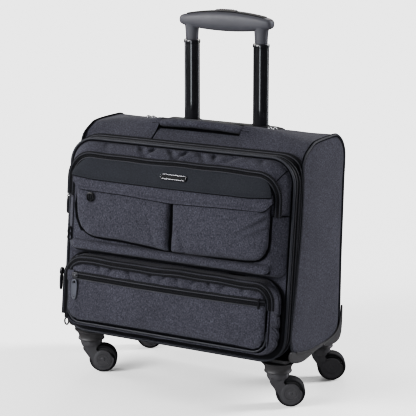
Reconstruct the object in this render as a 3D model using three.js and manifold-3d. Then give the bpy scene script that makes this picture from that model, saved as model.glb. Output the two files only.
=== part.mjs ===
// Rolling laptop case: a soft-sided body on four swivel casters, with a two-stage
// trolley handle, a front lid that carries two pockets, and a padded carry handle.
// Millimetres. X runs across the width, -Y is the front, +Z is up, the floor is Z = 0.
import * as THREE from 'three';
import { LoftGeometry } from 'three/addons/geometries/LoftGeometry.js';
import { mergeVertices } from 'three/addons/utils/BufferGeometryUtils.js';
import Module from 'manifold-3d';

const wasm = await Module();
wasm.setup();

// ---------------------------------------------------------------- driving dimensions
const GAP = 0.3; // clearance between touching pieces
const WALL = 4; // padded fabric wall
const HALF_WIDTH = 212; // outer face of a side panel
const INNER_WIDTH = HALF_WIDTH - WALL - GAP; // half width between the side panels
const BACK = 117; // outer face of the back panel
const BASE = 78; // underside of the base tray
const TRAY = 5; // thickness of the base tray
const TOP_CROWN = 12; // rise of the top panel at mid width
const BACK_FLAT = 150; // half width of the flat middle of the back panel

const LID = { y: -92.9, z: 82, lean: 6.28, height: 333, low: 4, corner: 42, depth: 4 };
const BAND_DEPTH = 17; // zip band between the body and the lid
const UPPER = { halfWidth: 200, low: 140, high: 318, depth: 25, wall: 3 };
const LOWER = { halfWidth: 205, low: 16, high: 131, depth: 34, wall: 3 };
const UPPER_DOOR = 3; // thickness of the upper pocket's front
const LOWER_DOOR = 5.5; // thickness of the lower pocket's front
const POCKET = { halfWidth: 188, low: 153, high: 268, depth: 8 };

const TUBE = { x: 67.2, y: 95.7 }; // axes of the trolley tubes
const SHEATH = { outer: [15.4, 12.9], inner: [13.9, 11.4], low: 89, high: 423.7 };
const STAGE1 = { outer: [13.5, 11], inner: [11.65, 9.15], low: 236, high: 566 };
const STAGE2 = { outer: [11.25, 8.75], inner: [9.75, 7.25], low: 300, high: 570.7 };
const COLLAR = { outer: [14.3, 11.8], high: 572 };
const LEG = { low: 572.3, high: 603, lowSize: [12, 9.5], highSize: [12.8, 10] };
const GRIP = { halfWidth: 88.4, endLow: 597.5, endHigh: 614, sag: 7.5, rise: 10 };
const BEZEL = { halfWidth: 113, front: 79, rear: 113, skirt: 411, low: 424, high: 434.5 };

const CASTER = { x: 183, front: -57, rear: 99, turn: 29.6, trail: 20.5 };
const WHEEL = { radius: 24, halfWidth: 11, hub: 19, bore: 3.3 };
const FORK = { neck: 18.2, top: 57.5, halfWidth: 15, slot: 11.5, pin: 5, pinTop: 74 };
const HOUSING = { radius: 22.5, low: 57.8, foot: 69 };

const CARRY = { halfLength: 80, y: 11, z: 438, halfDepth: 10, halfHeight: 7, bow: 3 };

const radians = THREE.MathUtils.degToRad;
const vec = (x, y, z) => new THREE.Vector3(x, y, z);

// ---------------------------------------------------------------- materials
const paint = (color, roughness, metalness = 0) =>
  new THREE.MeshStandardMaterial({ color, roughness, metalness });
const fabric = paint(0x3f3f46, 0.95);
const nylon = paint(0x2c2c30, 0.8);
const tape = paint(0x1b1b20, 0.75);
const plastic = paint(0x3b3b3c, 0.6);
const gripPlastic = paint(0x47474d, 0.65);
const glossBlack = paint(0x0b0b0d, 0.15, 0.6);
const anodised = paint(0x5a5a5f, 0.4, 0.9);
const steel = paint(0x9a9aa0, 0.3, 1);
const rubber = paint(0x19191a, 0.85);
const lining = paint(0x35353a, 0.9);

// ---------------------------------------------------------------- shapes and solids
const root = new THREE.Group();

function add(parent, name, geometry, material) {
  const mesh = new THREE.Mesh(geometry, material);
  mesh.name = name;
  parent.add(mesh);
  return mesh;
}

function outline(points) {
  return new THREE.Shape(points.map(([a, b]) => new THREE.Vector2(a, b)));
}

// A rectangle from low to high with its own radius for the upper and the lower corners.
function roundedRect(halfWidth, low, high, upper, lower = upper, Path = THREE.Shape) {
  const path = new Path();
  path.moveTo(-halfWidth + lower, low);
  path.lineTo(halfWidth - lower, low);
  path.absarc(halfWidth - lower, low + lower, lower, -Math.PI / 2, 0);
  path.lineTo(halfWidth, high - upper);
  path.absarc(halfWidth - upper, high - upper, upper, 0, Math.PI / 2);
  path.lineTo(-halfWidth + upper, high);
  path.absarc(-halfWidth + upper, high - upper, upper, Math.PI / 2, Math.PI);
  path.lineTo(-halfWidth, low + lower);
  path.absarc(-halfWidth + lower, low + lower, lower, Math.PI, Math.PI * 1.5);
  return path;
}

function ring(halfWidth, low, high, upper, lower, wall) {
  const shape = roundedRect(halfWidth, low, high, upper, lower);
  const hole = [halfWidth - wall, low + wall, high - wall, upper - wall, lower - wall];
  shape.holes.push(roundedRect(...hole, THREE.Path));
  return shape;
}

function ellipse([rx, ry], Path = THREE.Shape) {
  const path = new Path();
  path.absellipse(0, 0, rx, ry, 0, Math.PI * 2);
  return path;
}

function extrude(shape, depth, curveSegments = 3) {
  return new THREE.ExtrudeGeometry(shape, { depth, bevelEnabled: false, curveSegments });
}

// A shape drawn in X and Z, standing upright, its thickness running forward from `behind`.
function upright(shape, behind, thickness, curveSegments) {
  const geometry = extrude(shape, thickness, curveSegments).rotateX(Math.PI / 2);
  return geometry.translate(0, behind, 0);
}

const acrossBasis = new THREE.Matrix4().makeBasis(vec(0, 1, 0), vec(0, 0, 1), vec(1, 0, 0));

// A side view drawn in Y and Z, extruded along X from `from` to `to`, on either side.
function across(shape, from, to, side = 1, curveSegments = 4) {
  const geometry = extrude(shape, to - from, curveSegments).applyMatrix4(acrossBasis);
  return geometry.translate(side > 0 ? from : -to, 0, 0);
}

function box(x0, x1, y0, y1, z0, z1) {
  const geometry = new THREE.BoxGeometry(x1 - x0, y1 - y0, z1 - z0);
  return geometry.translate((x0 + x1) / 2, (y0 + y1) / 2, (z0 + z1) / 2);
}

// An upright round bar of the given radius between two heights.
function post(radius, x, y, z0, z1, segments = 16) {
  const geometry = new THREE.CylinderGeometry(radius, radius, z1 - z0, segments);
  return geometry.rotateX(Math.PI / 2).translate(x, y, (z0 + z1) / 2);
}

function solid(geometry) {
  const plain = new THREE.BufferGeometry();
  plain.setAttribute('position', geometry.attributes.position);
  plain.setIndex(geometry.index);
  const merged = mergeVertices(plain, 1e-4);
  const vertProperties = new Float32Array(merged.attributes.position.array);
  const triVerts = new Uint32Array(merged.index.array);
  return new wasm.Manifold(new wasm.Mesh({ numProp: 3, vertProperties, triVerts }));
}

function surface(manifold) {
  const { vertProperties, triVerts } = manifold.getMesh();
  const geometry = new THREE.BufferGeometry();
  geometry.setAttribute('position', new THREE.Float32BufferAttribute(vertProperties, 3));
  geometry.setIndex([...triVerts]);
  geometry.computeVertexNormals();
  return geometry;
}

function combine(joined, cut = []) {
  let result = solid(joined[0]);
  for (const geometry of joined.slice(1)) result = result.add(solid(geometry));
  for (const geometry of cut) result = result.subtract(solid(geometry));
  return surface(result);
}

const sides = [
  ['left', -1],
  ['right', 1],
];

// ---------------------------------------------------------------- body
// Front edge of the body's walls, on a plane that leans back with the lid.
const bodyFront = (z) =>
  LID.y + (z - LID.z) * Math.tan(radians(LID.lean)) + BAND_DEPTH + 2 * GAP;

const sideOutline = [
  [bodyFront(98), 98],
  [-60, 85],
  [-30, 79],
  [85, 79],
  [104, 88],
  [BACK, 112],
  [BACK, 388],
  [112, 408],
  [100, 421],
  [84, 429.5],
  [60, 431.5],
  [33, 431],
  [8, 428],
  [-14, 421],
  [-32, 411],
  [bodyFront(399), 399],
];

// The top's section from front to back: depth, height, share of the crown, handle recess.
const topSection = [
  [bodyFront(414), 414, 0, 0],
  [-24, 415, 0.05, 1],
  [-5, 425, 0.3, 3],
  [-1, 427, 0.35, 12],
  [21.5, 431.2, 1.25, 25],
  [34, 431.5, 1.25, 0],
  [60, 431.5, 0.6, 0],
  [84, 431, 0.12, 0],
  [102, 424.5, 0.05, 0],
  [113, 414, 0, 0],
  [BACK, 402, 0, 0],
];
const RECESS_HALF = 100; // half width of the recess under the carry handle

function topRing(x) {
  const share = 1 - (x / INNER_WIDTH) ** 2;
  const recessed = Math.abs(x) < RECESS_HALF ? 1 : 0;
  const height = ([, z, crown, recess]) => z + TOP_CROWN * share * crown - recessed * recess;
  const outer = topSection.map((row) => vec(x, row[0], height(row)));
  const last = topSection.length - 1;
  const inner = topSection.map((row, i) =>
    vec(x, i === last ? row[0] - WALL : row[0], height(row) - (i === last ? 0 : WALL)),
  );
  return [...inner, ...outer.reverse()];
}

function makeTopPanel() {
  const half = [INNER_WIDTH, 155, RECESS_HALF + 0.5, RECESS_HALF - 0.5, 50];
  const places = [...half.map((x) => -x), 0, ...half.reverse()];
  const shell = new LoftGeometry(places.map(topRing), { capStart: true, capEnd: true });
  const { halfWidth, front, rear } = BEZEL;
  const slot = box(-halfWidth - GAP, halfWidth + GAP, front - GAP, rear + GAP, 400, 460);
  return combine([shell], [slot]);
}

// The back panel from above: flat in the middle, easing in towards the side panels.
const backSection = [
  [-INNER_WIDTH, BACK - WALL], [INNER_WIDTH, BACK - WALL], [INNER_WIDTH, BACK - 1],
  [BACK_FLAT, BACK], [-BACK_FLAT, BACK], [-INNER_WIDTH, BACK - 1],
];

function makeBody() {
  const backTop = topSection.at(-1)[1] - GAP;
  const inside = BASE + TRAY + GAP; // lowest place for anything that stands on the tray
  for (const [name, side] of sides) {
    const panel = across(outline(sideOutline), HALF_WIDTH - WALL, HALF_WIDTH, side);
    add(root, `side_panel_${name}`, panel, fabric);
  }
  add(root, 'top_panel', makeTopPanel(), fabric);
  const behind = extrude(outline(backSection), backTop - inside).translate(0, 0, inside);
  add(root, 'back_panel', behind, fabric);
  const tray = roundedRect(INNER_WIDTH, bodyFront(BASE + TRAY), BACK - WALL - GAP, 12, 6);
  add(root, 'base_tray', extrude(tray, TRAY).translate(0, 0, BASE), plastic);
  const liner = roundedRect(INNER_WIDTH - GAP, inside, 420, 20);
  add(root, 'back_lining', upright(liner, 80, 3), lining);
  add(root, 'laptop_divider', upright(roundedRect(200, inside, 345, 16), 48, 8), lining);
}

// ---------------------------------------------------------------- corner guards and casters
const frontSole = [[-77, 77.7], [-77, 74], [-64, 69], [-35, 69], [-15, 74], [-15, 77.7]];
const frontFlange = [
  [-76, 100], [-78, 80], [-70, 71], [-60, 69], [-35, 69], [20, 76],
  [22, 80], [0, 82], [-20, 88], [-40, 88], [-58, 97],
];
const rearSole = [
  [60, 77.7], [60, 72], [80, 69], [108, 69], [120, 80], [123, 100],
  [123, 150], [120, 155], [117.3, 155], [117.3, 80], [113, 77.7],
];
const rearFlange = [
  [50, 82], [50, 74], [80, 69], [108, 69], [120, 80], [123, 100],
  [123, 150], [120, 155], [117.5, 150], [110, 110], [95, 90],
];
const GUARD_OUTER = 214.3; // outer face of a corner guard's side flange

function makeGuard(name, side, y, sole, flange) {
  const x = side * CASTER.x;
  const joined = [
    across(outline(sole), 160, GUARD_OUTER, side),
    across(outline(flange), HALF_WIDTH + GAP, GUARD_OUTER, side),
    post(HOUSING.radius, x, y, HOUSING.low, 76, 24),
  ];
  const socket = post(FORK.pin + 0.4, x, y, HOUSING.low - 1, FORK.pinTop + GAP, 12);
  add(root, `corner_guard_${name}`, combine(joined, [socket]), plastic);
}

// Side view of the fork's arms, with the trail along the first axis.
function armOutline() {
  const shape = new THREE.Shape();
  shape.moveTo(-18, 52);
  shape.lineTo(-17, 45);
  shape.lineTo(-12.5, 36.6);
  shape.lineTo(-3, 25.7);
  shape.absarc(CASTER.trail, WHEEL.radius, 17, radians(225), radians(410));
  shape.lineTo(24, 38.2);
  shape.lineTo(16.6, 39.2);
  shape.lineTo(10.7, 43);
  shape.lineTo(7.5, 52);
  return shape;
}

// A bar along the wheel's axis, centred on the wheel.
function wheelBar(radius, halfLength, segments) {
  const bar = new THREE.CylinderGeometry(radius, radius, halfLength * 2, segments);
  return bar.translate(CASTER.trail, 0, WHEEL.radius);
}

function makeFork() {
  const width = 2 * FORK.halfWidth;
  const arms = upright(armOutline(), FORK.halfWidth, width, 6);
  const neck = post(FORK.neck, 0, 0, 44, FORK.top, 20);
  const pin = post(FORK.pin, 0, 0, FORK.top - 1, FORK.pinTop, 12);
  const slot = wheelBar(WHEEL.radius + 1.3, FORK.slot, 24);
  return combine([arms, neck, pin], [slot, wheelBar(WHEEL.bore, FORK.halfWidth + 1, 12)]);
}

function lathe(profile, segments) {
  const points = profile.map(([r, y]) => new THREE.Vector2(r, y));
  const turned = new THREE.LatheGeometry(points, segments);
  return turned.translate(CASTER.trail, 0, WHEEL.radius);
}

function makeTyre() {
  const { radius, halfWidth, hub } = WHEEL;
  const seat = hub + GAP;
  const half = [[seat, halfWidth - 1], [radius - 1.5, halfWidth], [radius, halfWidth - 4]];
  const mirrored = half.map(([r, y]) => [r, -y]);
  const profile = [...mirrored, ...half.reverse()];
  return lathe([...profile, profile[0]], 24);
}

function makeHub() {
  const { hub, bore, halfWidth } = WHEEL;
  const face = halfWidth - 0.6;
  const profile = [[bore, -face], [8, -face], [hub, -face + 2], [hub, face - 2], [8, face], [bore, face]];
  return lathe([...profile, profile[0]], 16);
}

function makeCaster(name, x, y) {
  const caster = new THREE.Group();
  caster.position.set(x, y, 0);
  caster.rotation.z = radians(CASTER.turn);
  root.add(caster);
  add(caster, `caster_fork_${name}`, makeFork(), plastic);
  add(caster, `wheel_axle_${name}`, wheelBar(WHEEL.bore - GAP, FORK.halfWidth - 0.2, 12), steel);
  add(caster, `wheel_hub_${name}`, makeHub(), plastic);
  add(caster, `wheel_tyre_${name}`, makeTyre(), rubber);
}

function makeUndercarriage() {
  for (const [name, side] of sides) {
    makeGuard(`front_${name}`, side, CASTER.front, frontSole, frontFlange);
    makeGuard(`rear_${name}`, side, CASTER.rear, rearSole, rearFlange);
    makeCaster(`front_${name}`, side * CASTER.x, CASTER.front);
    makeCaster(`rear_${name}`, side * CASTER.x, CASTER.rear);
  }
}

// ---------------------------------------------------------------- trolley handle
function ovalTube(outer, inner, low, high, x) {
  const shape = ellipse(outer);
  shape.holes.push(ellipse(inner, THREE.Path));
  return extrude(shape, high - low, 8).translate(x, TUBE.y, low);
}

const gripTop = (x) => GRIP.endHigh + GRIP.rise * (1 - (x / GRIP.halfWidth) ** 2);
const gripLow = (x) => GRIP.endLow - GRIP.sag * (1 - (x / GRIP.halfWidth) ** 2);

// One rounded section of the grip, shrunk near the ends so that they come out round.
function gripRing(x, share) {
  const middle = (gripTop(x) + gripLow(x)) / 2;
  const halfHeight = share * (gripTop(x) - gripLow(x)) / 2;
  const halfDepth = share * (10.5 + 2.5 * (1 - (x / GRIP.halfWidth) ** 2));
  const soften = (value) => Math.sign(value) * Math.abs(value) ** 0.75;
  return Array.from({ length: 12 }, (_, i) => {
    const turn = (i / 12) * Math.PI * 2;
    const y = TUBE.y + halfDepth * soften(Math.sin(turn));
    return vec(x, y, middle - halfHeight * soften(Math.cos(turn)));
  });
}

function gripShell() {
  const places = [[0, 1], [25, 1], [48, 1], [68, 1], [79, 0.97], [85.5, 0.84], [88.4, 0.55]];
  const right = places.map(([x, share]) => gripRing(x, share));
  const left = places.slice(1).map(([x, share]) => gripRing(-x, share)).reverse();
  return new LoftGeometry([...left, ...right], { capStart: true, capEnd: true });
}

function leg(x) {
  const rows = [[LEG.low, LEG.lowSize], [LEG.high, LEG.highSize]];
  const sections = rows.map(([z, [rx, ry]]) =>
    Array.from({ length: 16 }, (_, i) => {
      const turn = (i / 16) * Math.PI * 2;
      return vec(x + rx * Math.cos(turn), TUBE.y + ry * Math.sin(turn), z);
    }),
  );
  return new LoftGeometry(sections, { capStart: true, capEnd: true });
}

// The grip's top follows a bow: this strip runs under it at the given depths.
function bowStrip(halfLength, halfDepth, below, thickness) {
  const steps = Array.from({ length: 9 }, (_, i) => (i / 4 - 1) * halfLength);
  const upper = steps.map((x) => [x, gripTop(x) - below]);
  const lower = steps.map((x) => [x, gripTop(x) - below - thickness]).reverse();
  return upright(outline([...lower.reverse(), ...upper.reverse()]), TUBE.y + halfDepth, 2 * halfDepth);
}

const TROUGH = { halfLength: 77, halfDepth: 7.5, floor: 601 };
const BUTTON = { halfLength: 18.7, halfDepth: 4.8, low: 609.2, proud: 2 };
const YOKE = { halfDepth: 2.5, low: 604.7, high: 608.7, rod: 2.4, rodLow: 330 };

function centredBox(halfLength, halfDepth, low, high) {
  return box(-halfLength, halfLength, TUBE.y - halfDepth, TUBE.y + halfDepth, low, high);
}

function makeTrolley() {
  for (const [name, side] of sides) {
    const x = side * TUBE.x;
    const sheath = ovalTube(SHEATH.outer, SHEATH.inner, SHEATH.low, SHEATH.high, x);
    const stage1 = ovalTube(STAGE1.outer, STAGE1.inner, STAGE1.low, STAGE1.high, x);
    const stage2 = ovalTube(STAGE2.outer, STAGE2.inner, STAGE2.low, STAGE2.high, x);
    const collar = ovalTube(COLLAR.outer, STAGE1.inner, STAGE1.high + GAP, COLLAR.high, x);
    add(root, `sheath_tube_${name}`, sheath, anodised);
    add(root, `outer_tube_${name}`, stage1, glossBlack);
    add(root, `tube_collar_${name}`, collar, plastic);
    add(root, `inner_tube_${name}`, stage2, anodised);
  }
  const foot = box(-86, 86, 81.5, 110, BASE + TRAY + GAP, SHEATH.low - GAP);
  add(root, 'trolley_foot', foot, plastic);

  const { halfWidth, front, rear, skirt, low, high } = BEZEL;
  const section = outline([
    [front, low], [rear - 3.5, low], [rear - 3.5, skirt], [rear, skirt], [rear, low],
    [rear - 5, high - 6], [rear - 15, high - 1.5], [rear - 24, high], [front, high],
  ]);
  const bezelPlate = across(section, -halfWidth, halfWidth);
  const holes = sides.map(([, side]) =>
    extrude(ellipse(SHEATH.inner), 30, 8).translate(side * TUBE.x, TUBE.y, low - 5),
  );
  add(root, 'trolley_bezel', combine([bezelPlate], holes), plastic);

  const trough = centredBox(TROUGH.halfLength, TROUGH.halfDepth, TROUGH.floor, 640);
  const rodBores = sides.map(([, side]) => post(YOKE.rod + 1.2, side * TUBE.x, TUBE.y, 560, 610, 12));
  const legs = sides.map(([, side]) => leg(side * TUBE.x));
  add(root, 'grip_body', combine([gripShell(), ...legs], [trough, ...rodBores]), gripPlastic);

  const strip = bowStrip(TROUGH.halfLength - GAP, TROUGH.halfDepth - GAP, 0.2, 3);
  const mouth = centredBox(BUTTON.halfLength + 0.4, BUTTON.halfDepth + 0.4, 600, 640);
  add(root, 'grip_cover', combine([strip], [mouth]), plastic);

  const buttonHeight = gripTop(BUTTON.halfLength) + BUTTON.proud - BUTTON.low;
  const cap = bowStrip(BUTTON.halfLength, BUTTON.halfDepth, -BUTTON.proud, buttonHeight);
  add(root, 'release_button', cap, plastic);

  const bar = centredBox(TUBE.x + 3, YOKE.halfDepth, YOKE.low, YOKE.high);
  const rods = sides.map(([, side]) => post(YOKE.rod, side * TUBE.x, TUBE.y, YOKE.rodLow, YOKE.low + 1, 10));
  add(root, 'release_yoke', combine([bar, ...rods]), steel);
}

// ---------------------------------------------------------------- carry handle
function makeCarryHandle() {
  const places = [-80, -76, -66, -40, 0, 40, 66, 76, 80];
  const size = [0.6, 0.85, 1, 1, 1, 1, 1, 0.85, 0.6];
  const sections = places.map((x, k) =>
    Array.from({ length: 12 }, (_, i) => {
      const turn = (i / 12) * Math.PI * 2;
      const rise = CARRY.bow * (1 - (x / CARRY.halfLength) ** 2);
      const y = CARRY.y + size[k] * CARRY.halfDepth * Math.sin(turn);
      return vec(x, y, CARRY.z + rise - size[k] * CARRY.halfHeight * Math.cos(turn));
    }),
  );
  const roll = new LoftGeometry(sections, { capStart: true, capEnd: true });
  const strap = box(-92, 92, CARRY.y - 5.5, CARRY.y + 5.5, CARRY.z - 1.5, CARRY.z + 1.5);
  add(root, 'carry_handle', combine([roll, strap]), fabric);

  const inner = CARRY.y - 6.3;
  const outer = CARRY.y + 6.3;
  const [foot, floor, lip] = [423, 435.5, 445];
  const guide = outline([
    [inner - 3, foot], [outer + 3, foot], [outer + 3, lip], [outer, lip],
    [outer, floor], [inner, floor], [inner, lip], [inner - 3, lip],
  ]);
  for (const [name, side] of sides) {
    add(root, `handle_anchor_${name}`, across(guide, 84.5, 94, side), steel);
  }
}

// ---------------------------------------------------------------- lid and pockets
// A pull tab that hangs from its eye: drawn in X and Z with the eye at the origin.
function tabOutline(width, length, eye) {
  const shape = roundedRect(width / 2, -length + width / 2, width / 2, width / 2 - 0.1);
  const hole = new THREE.Path();
  hole.absarc(0, 0, eye, 0, Math.PI * 2);
  shape.holes.push(hole);
  return shape;
}

// The same tab turned to hang against a side face, its thickness running along X.
function sideTab(width, length, eye, thickness, outerX) {
  return across(tabOutline(width, length, eye), -thickness, 0).translate(outerX + thickness, 0, 0);
}

function placed(parent, name, geometry, material, x, y, z) {
  const mesh = add(parent, name, geometry, material);
  mesh.position.set(x, y, z);
  return mesh;
}

function makeLid() {
  const lid = new THREE.Group();
  lid.position.set(0, LID.y, LID.z);
  lid.rotation.x = -radians(LID.lean);
  root.add(lid);

  // In the lid's own frame Z runs up its face and -Y out of it.
  const { low, height, corner } = LID;
  const band = ring(HALF_WIDTH, low, height, corner, corner, WALL);
  add(lid, 'zip_band', upright(band, BAND_DEPTH, BAND_DEPTH - GAP), tape);
  const panel = roundedRect(HALF_WIDTH + 0.5, low, height, corner);
  add(lid, 'lid_panel', upright(panel, 0, LID.depth), fabric);

  const base = -LID.depth - GAP; // where the pockets' gussets stand on the lid
  const up = UPPER;
  const upperRing = ring(up.halfWidth, up.low, up.high, 42, 14, up.wall);
  add(lid, 'upper_pocket_gusset', upright(upperRing, base, up.depth + base), fabric);
  const upperDoor = roundedRect(up.halfWidth - 2, up.low + 4, up.high - 2, 40, 12);
  add(lid, 'upper_pocket_front', upright(upperDoor, -up.depth - GAP, UPPER_DOOR), nylon);

  const lo = LOWER;
  const lowerRing = ring(lo.halfWidth, lo.low, lo.high, 32, 30, lo.wall);
  add(lid, 'lower_pocket_gusset', upright(lowerRing, base, lo.depth + base), fabric);
  const lowerDoor = roundedRect(lo.halfWidth - 6, lo.low + 4, lo.high - 3, 30, 26);
  add(lid, 'lower_pocket_front', upright(lowerDoor, -lo.depth - GAP, LOWER_DOOR), fabric);

  makePatchPockets(lid, -up.depth - UPPER_DOOR - 2 * GAP);
  makePulls(lid);
}

// The patch pockets lie flat when empty: two pads with a pleat between them.
function makePatchPockets(lid, base) {
  const { halfWidth, low, high, depth } = POCKET;
  const block = upright(roundedRect(halfWidth, low, high, 1, 24), base, depth);
  const pleat = box(3, 8, base - depth - 1, base - 2, low - 1, high + 1);
  add(lid, 'patch_pockets', combine([block], [pleat]), fabric);

  const front = base - depth - GAP;
  const ringFace = front - 1.2; // the ring hangs clear of the pocket so that it can swing
  const cover = [[-172, -26], [166, -26], [180, -8], [180, 0], [-184, 0], [-184, -12]];
  placed(lid, 'pocket_flap', upright(outline(cover), 0, 2), fabric, 0, front, high + 6);
  const plate = roundedRect(24, -4.5, 4.5, 3);
  placed(lid, 'blank_badge', upright(plate, 0, 1.6), steel, 9, base, 289);
  const ringPull = upright(tabOutline(12, 14, 3.5), 0, 2);
  placed(lid, 'flap_ring', ringPull, steel, -148, ringFace, 240.5);
}

function makePulls(lid) {
  const lowerFace = -LOWER.depth - LOWER_DOOR - 2 * GAP;
  const slider = box(-5, 5, -3.2, 0, -4.4, 5);
  placed(lid, 'front_zip_slider', slider, steel, -170, lowerFace, 103);
  placed(lid, 'front_zip_pull', upright(tabOutline(8, 36, 2), 0, 2), steel, -170, lowerFace - 3.5, 93.6);

  const gusset = -LOWER.halfWidth - GAP;
  placed(lid, 'side_zip_pull', sideTab(7, 36, 1.8, 2.4, gusset - 5.2), plastic, 0, -24, 100);
  placed(lid, 'corner_ring', upright(tabOutline(9, 13, 2.6), 0, 2), steel, -204, -30, 22);

  const bandFace = -HALF_WIDTH - GAP;
  placed(root, 'main_zip_pull', sideTab(8, 38, 2, 3, bandFace - 7.2), plastic, 0, -56, 343);
}

makeBody();
makeUndercarriage();
makeTrolley();
makeCarryHandle();
makeLid();

export default root;
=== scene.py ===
# The looks of the rolling laptop case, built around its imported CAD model.
# Shapes are worked out in millimetres and written to Blender in metres.
import math

import bmesh
import bpy
import numpy as np
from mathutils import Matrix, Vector, noise
from mathutils.bvhtree import BVHTree


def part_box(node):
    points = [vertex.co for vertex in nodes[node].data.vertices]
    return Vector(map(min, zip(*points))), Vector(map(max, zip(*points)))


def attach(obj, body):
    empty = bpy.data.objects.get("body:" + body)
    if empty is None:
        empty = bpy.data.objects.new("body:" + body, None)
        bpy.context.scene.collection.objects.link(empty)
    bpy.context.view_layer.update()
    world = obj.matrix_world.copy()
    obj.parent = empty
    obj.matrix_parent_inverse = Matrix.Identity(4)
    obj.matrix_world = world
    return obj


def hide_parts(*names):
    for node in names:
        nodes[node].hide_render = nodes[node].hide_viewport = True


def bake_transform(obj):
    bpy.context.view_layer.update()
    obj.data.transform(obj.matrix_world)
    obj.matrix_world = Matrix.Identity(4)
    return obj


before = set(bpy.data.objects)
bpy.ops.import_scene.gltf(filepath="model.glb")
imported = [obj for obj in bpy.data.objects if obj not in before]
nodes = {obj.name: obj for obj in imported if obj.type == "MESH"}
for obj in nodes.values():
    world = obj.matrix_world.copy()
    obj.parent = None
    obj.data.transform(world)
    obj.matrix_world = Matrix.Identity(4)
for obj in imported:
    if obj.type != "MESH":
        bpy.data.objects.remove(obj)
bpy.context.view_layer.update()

MM = 0.001
LEAN = math.radians(6.28)       # the lid leans back by this much
LID_AT = (-92.9, 82.0)          # depth and height of the lid's lower rear edge
OUT = np.array([0, -math.cos(LEAN), math.sin(LEAN)])
UP = np.array([0, math.sin(LEAN), math.cos(LEAN)])
SIDE = 212.0                    # half width of the body
LID_LOW, LID_HIGH = 4, 333      # the lid's lower and upper edge, up its face
LID_CORNER = 42                 # the radius of its corners
TOP_STEPS = 61                  # points across the top's outline from front to rear
GUSSET_STEPS = 14               # points across a gusset, from the lid out to the zip
LOWER_SHIFT = 3.0               # the lower pocket sits a little to the right
SLIT = 101.8                    # how far up the lid the lower pocket's slit zip is
X_AXIS = np.array([1.0, 0, 0])
SIDES = (("left", -1), ("right", 1))


# ------------------------------------------------------------------ camera, stage, light
def make_stage():
    """The camera, a pale background, a floor that catches shadows, and the lights."""
    camera = bpy.data.objects.new("camera", bpy.data.cameras.new("camera"))
    bpy.context.scene.collection.objects.link(camera)
    camera.data.lens, camera.data.sensor_width = 143.8, 36
    camera.location = (1.3670, -2.3718, 0.9221)
    camera.rotation_euler = (math.radians(90 - 12.80), 0, math.radians(29.62))
    bpy.context.scene.camera = camera

    world = bpy.data.worlds.new("studio")
    bpy.context.scene.world = world
    world.use_nodes = True
    tree = world.node_tree
    background = tree.nodes["Background"]
    path = tree.nodes.new("ShaderNodeLightPath")
    mix = tree.nodes.new("ShaderNodeMix")
    mix.data_type = "RGBA"
    mix.inputs["A"].default_value = (0.05, 0.05, 0.056, 1)
    mix.inputs["B"].default_value = (3.6, 3.6, 3.6, 1)
    tree.links.new(path.outputs["Is Camera Ray"], mix.inputs["Factor"])
    tree.links.new(mix.outputs["Result"], background.inputs["Color"])

    floor = bpy.data.meshes.new("floor")
    floor.from_pydata([(-9, -9, 0), (9, -9, 0), (9, 9, 0), (-9, 9, 0)], [], [(0, 1, 2, 3)])
    floor = bpy.data.objects.new("floor", floor)
    bpy.context.scene.collection.objects.link(floor)
    floor.is_shadow_catcher = True
    floor.visible_glossy = False
    pale = bpy.data.materials.new("pale_floor")
    pale.use_nodes = True
    shader = pale.node_tree.nodes["Principled BSDF"]
    shader.inputs["Base Color"].default_value = (0.9, 0.9, 0.9, 1)
    shader.inputs["Roughness"].default_value = 0.9
    floor.data.materials.append(pale)

    def area(name, at, aim, size, power, tint=(1, 1, 1)):
        light = bpy.data.lights.new(name, "AREA")
        light.shape, light.size, light.size_y = "RECTANGLE", size[0], size[1]
        light.energy, light.color = power, tint
        lamp = bpy.data.objects.new(name, light)
        bpy.context.scene.collection.objects.link(lamp)
        lamp.location = at
        lamp.rotation_euler = (Vector(aim) - Vector(at)).to_track_quat("-Z", "Y").to_euler()

    area("key", (-1.3, -2.35, 1.65), (0, 0, 0.3), (1.0, 1.3), 44, (0.98, 0.97, 1))
    area("front_strip", (-0.2, -3.0, 0.35), (0, 0, 0.35), (0.42, 2.6), 29, (0.86, 0.92, 1))
    area("right", (2.3, 2.0, 2.0), (0, 0, 0.36), (0.7, 1.8), 102, (0.95, 0.94, 1))
    area("right_strip", (2.1, 2.1, 0.3), (0, 0, 0.3), (0.2, 2.6), 18, (0.92, 0.96, 1))
    area("left", (-2.9, -0.3, 1.5), (0, 0, 0.3), (0.7, 1.8), 26)
    area("left_strip", (-2.9, 0.3, 0.3), (0, 0, 0.3), (0.2, 2.6), 10, (0.92, 0.96, 1))
    area("left_fill", (-1.15, -1.25, 0.85), (-0.1, -0.1, 0.25), (0.5, 0.5), 15, (0.98, 0.97, 1))
    area("top", (0.1, 0.2, 2.9), (0, 0, 0.3), (1.6, 1.6), 10)
    area("rear", (-1.2, 2.6, 1.5), (0, 0, 0.3), (1.2, 1.2), 18)


make_stage()


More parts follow.
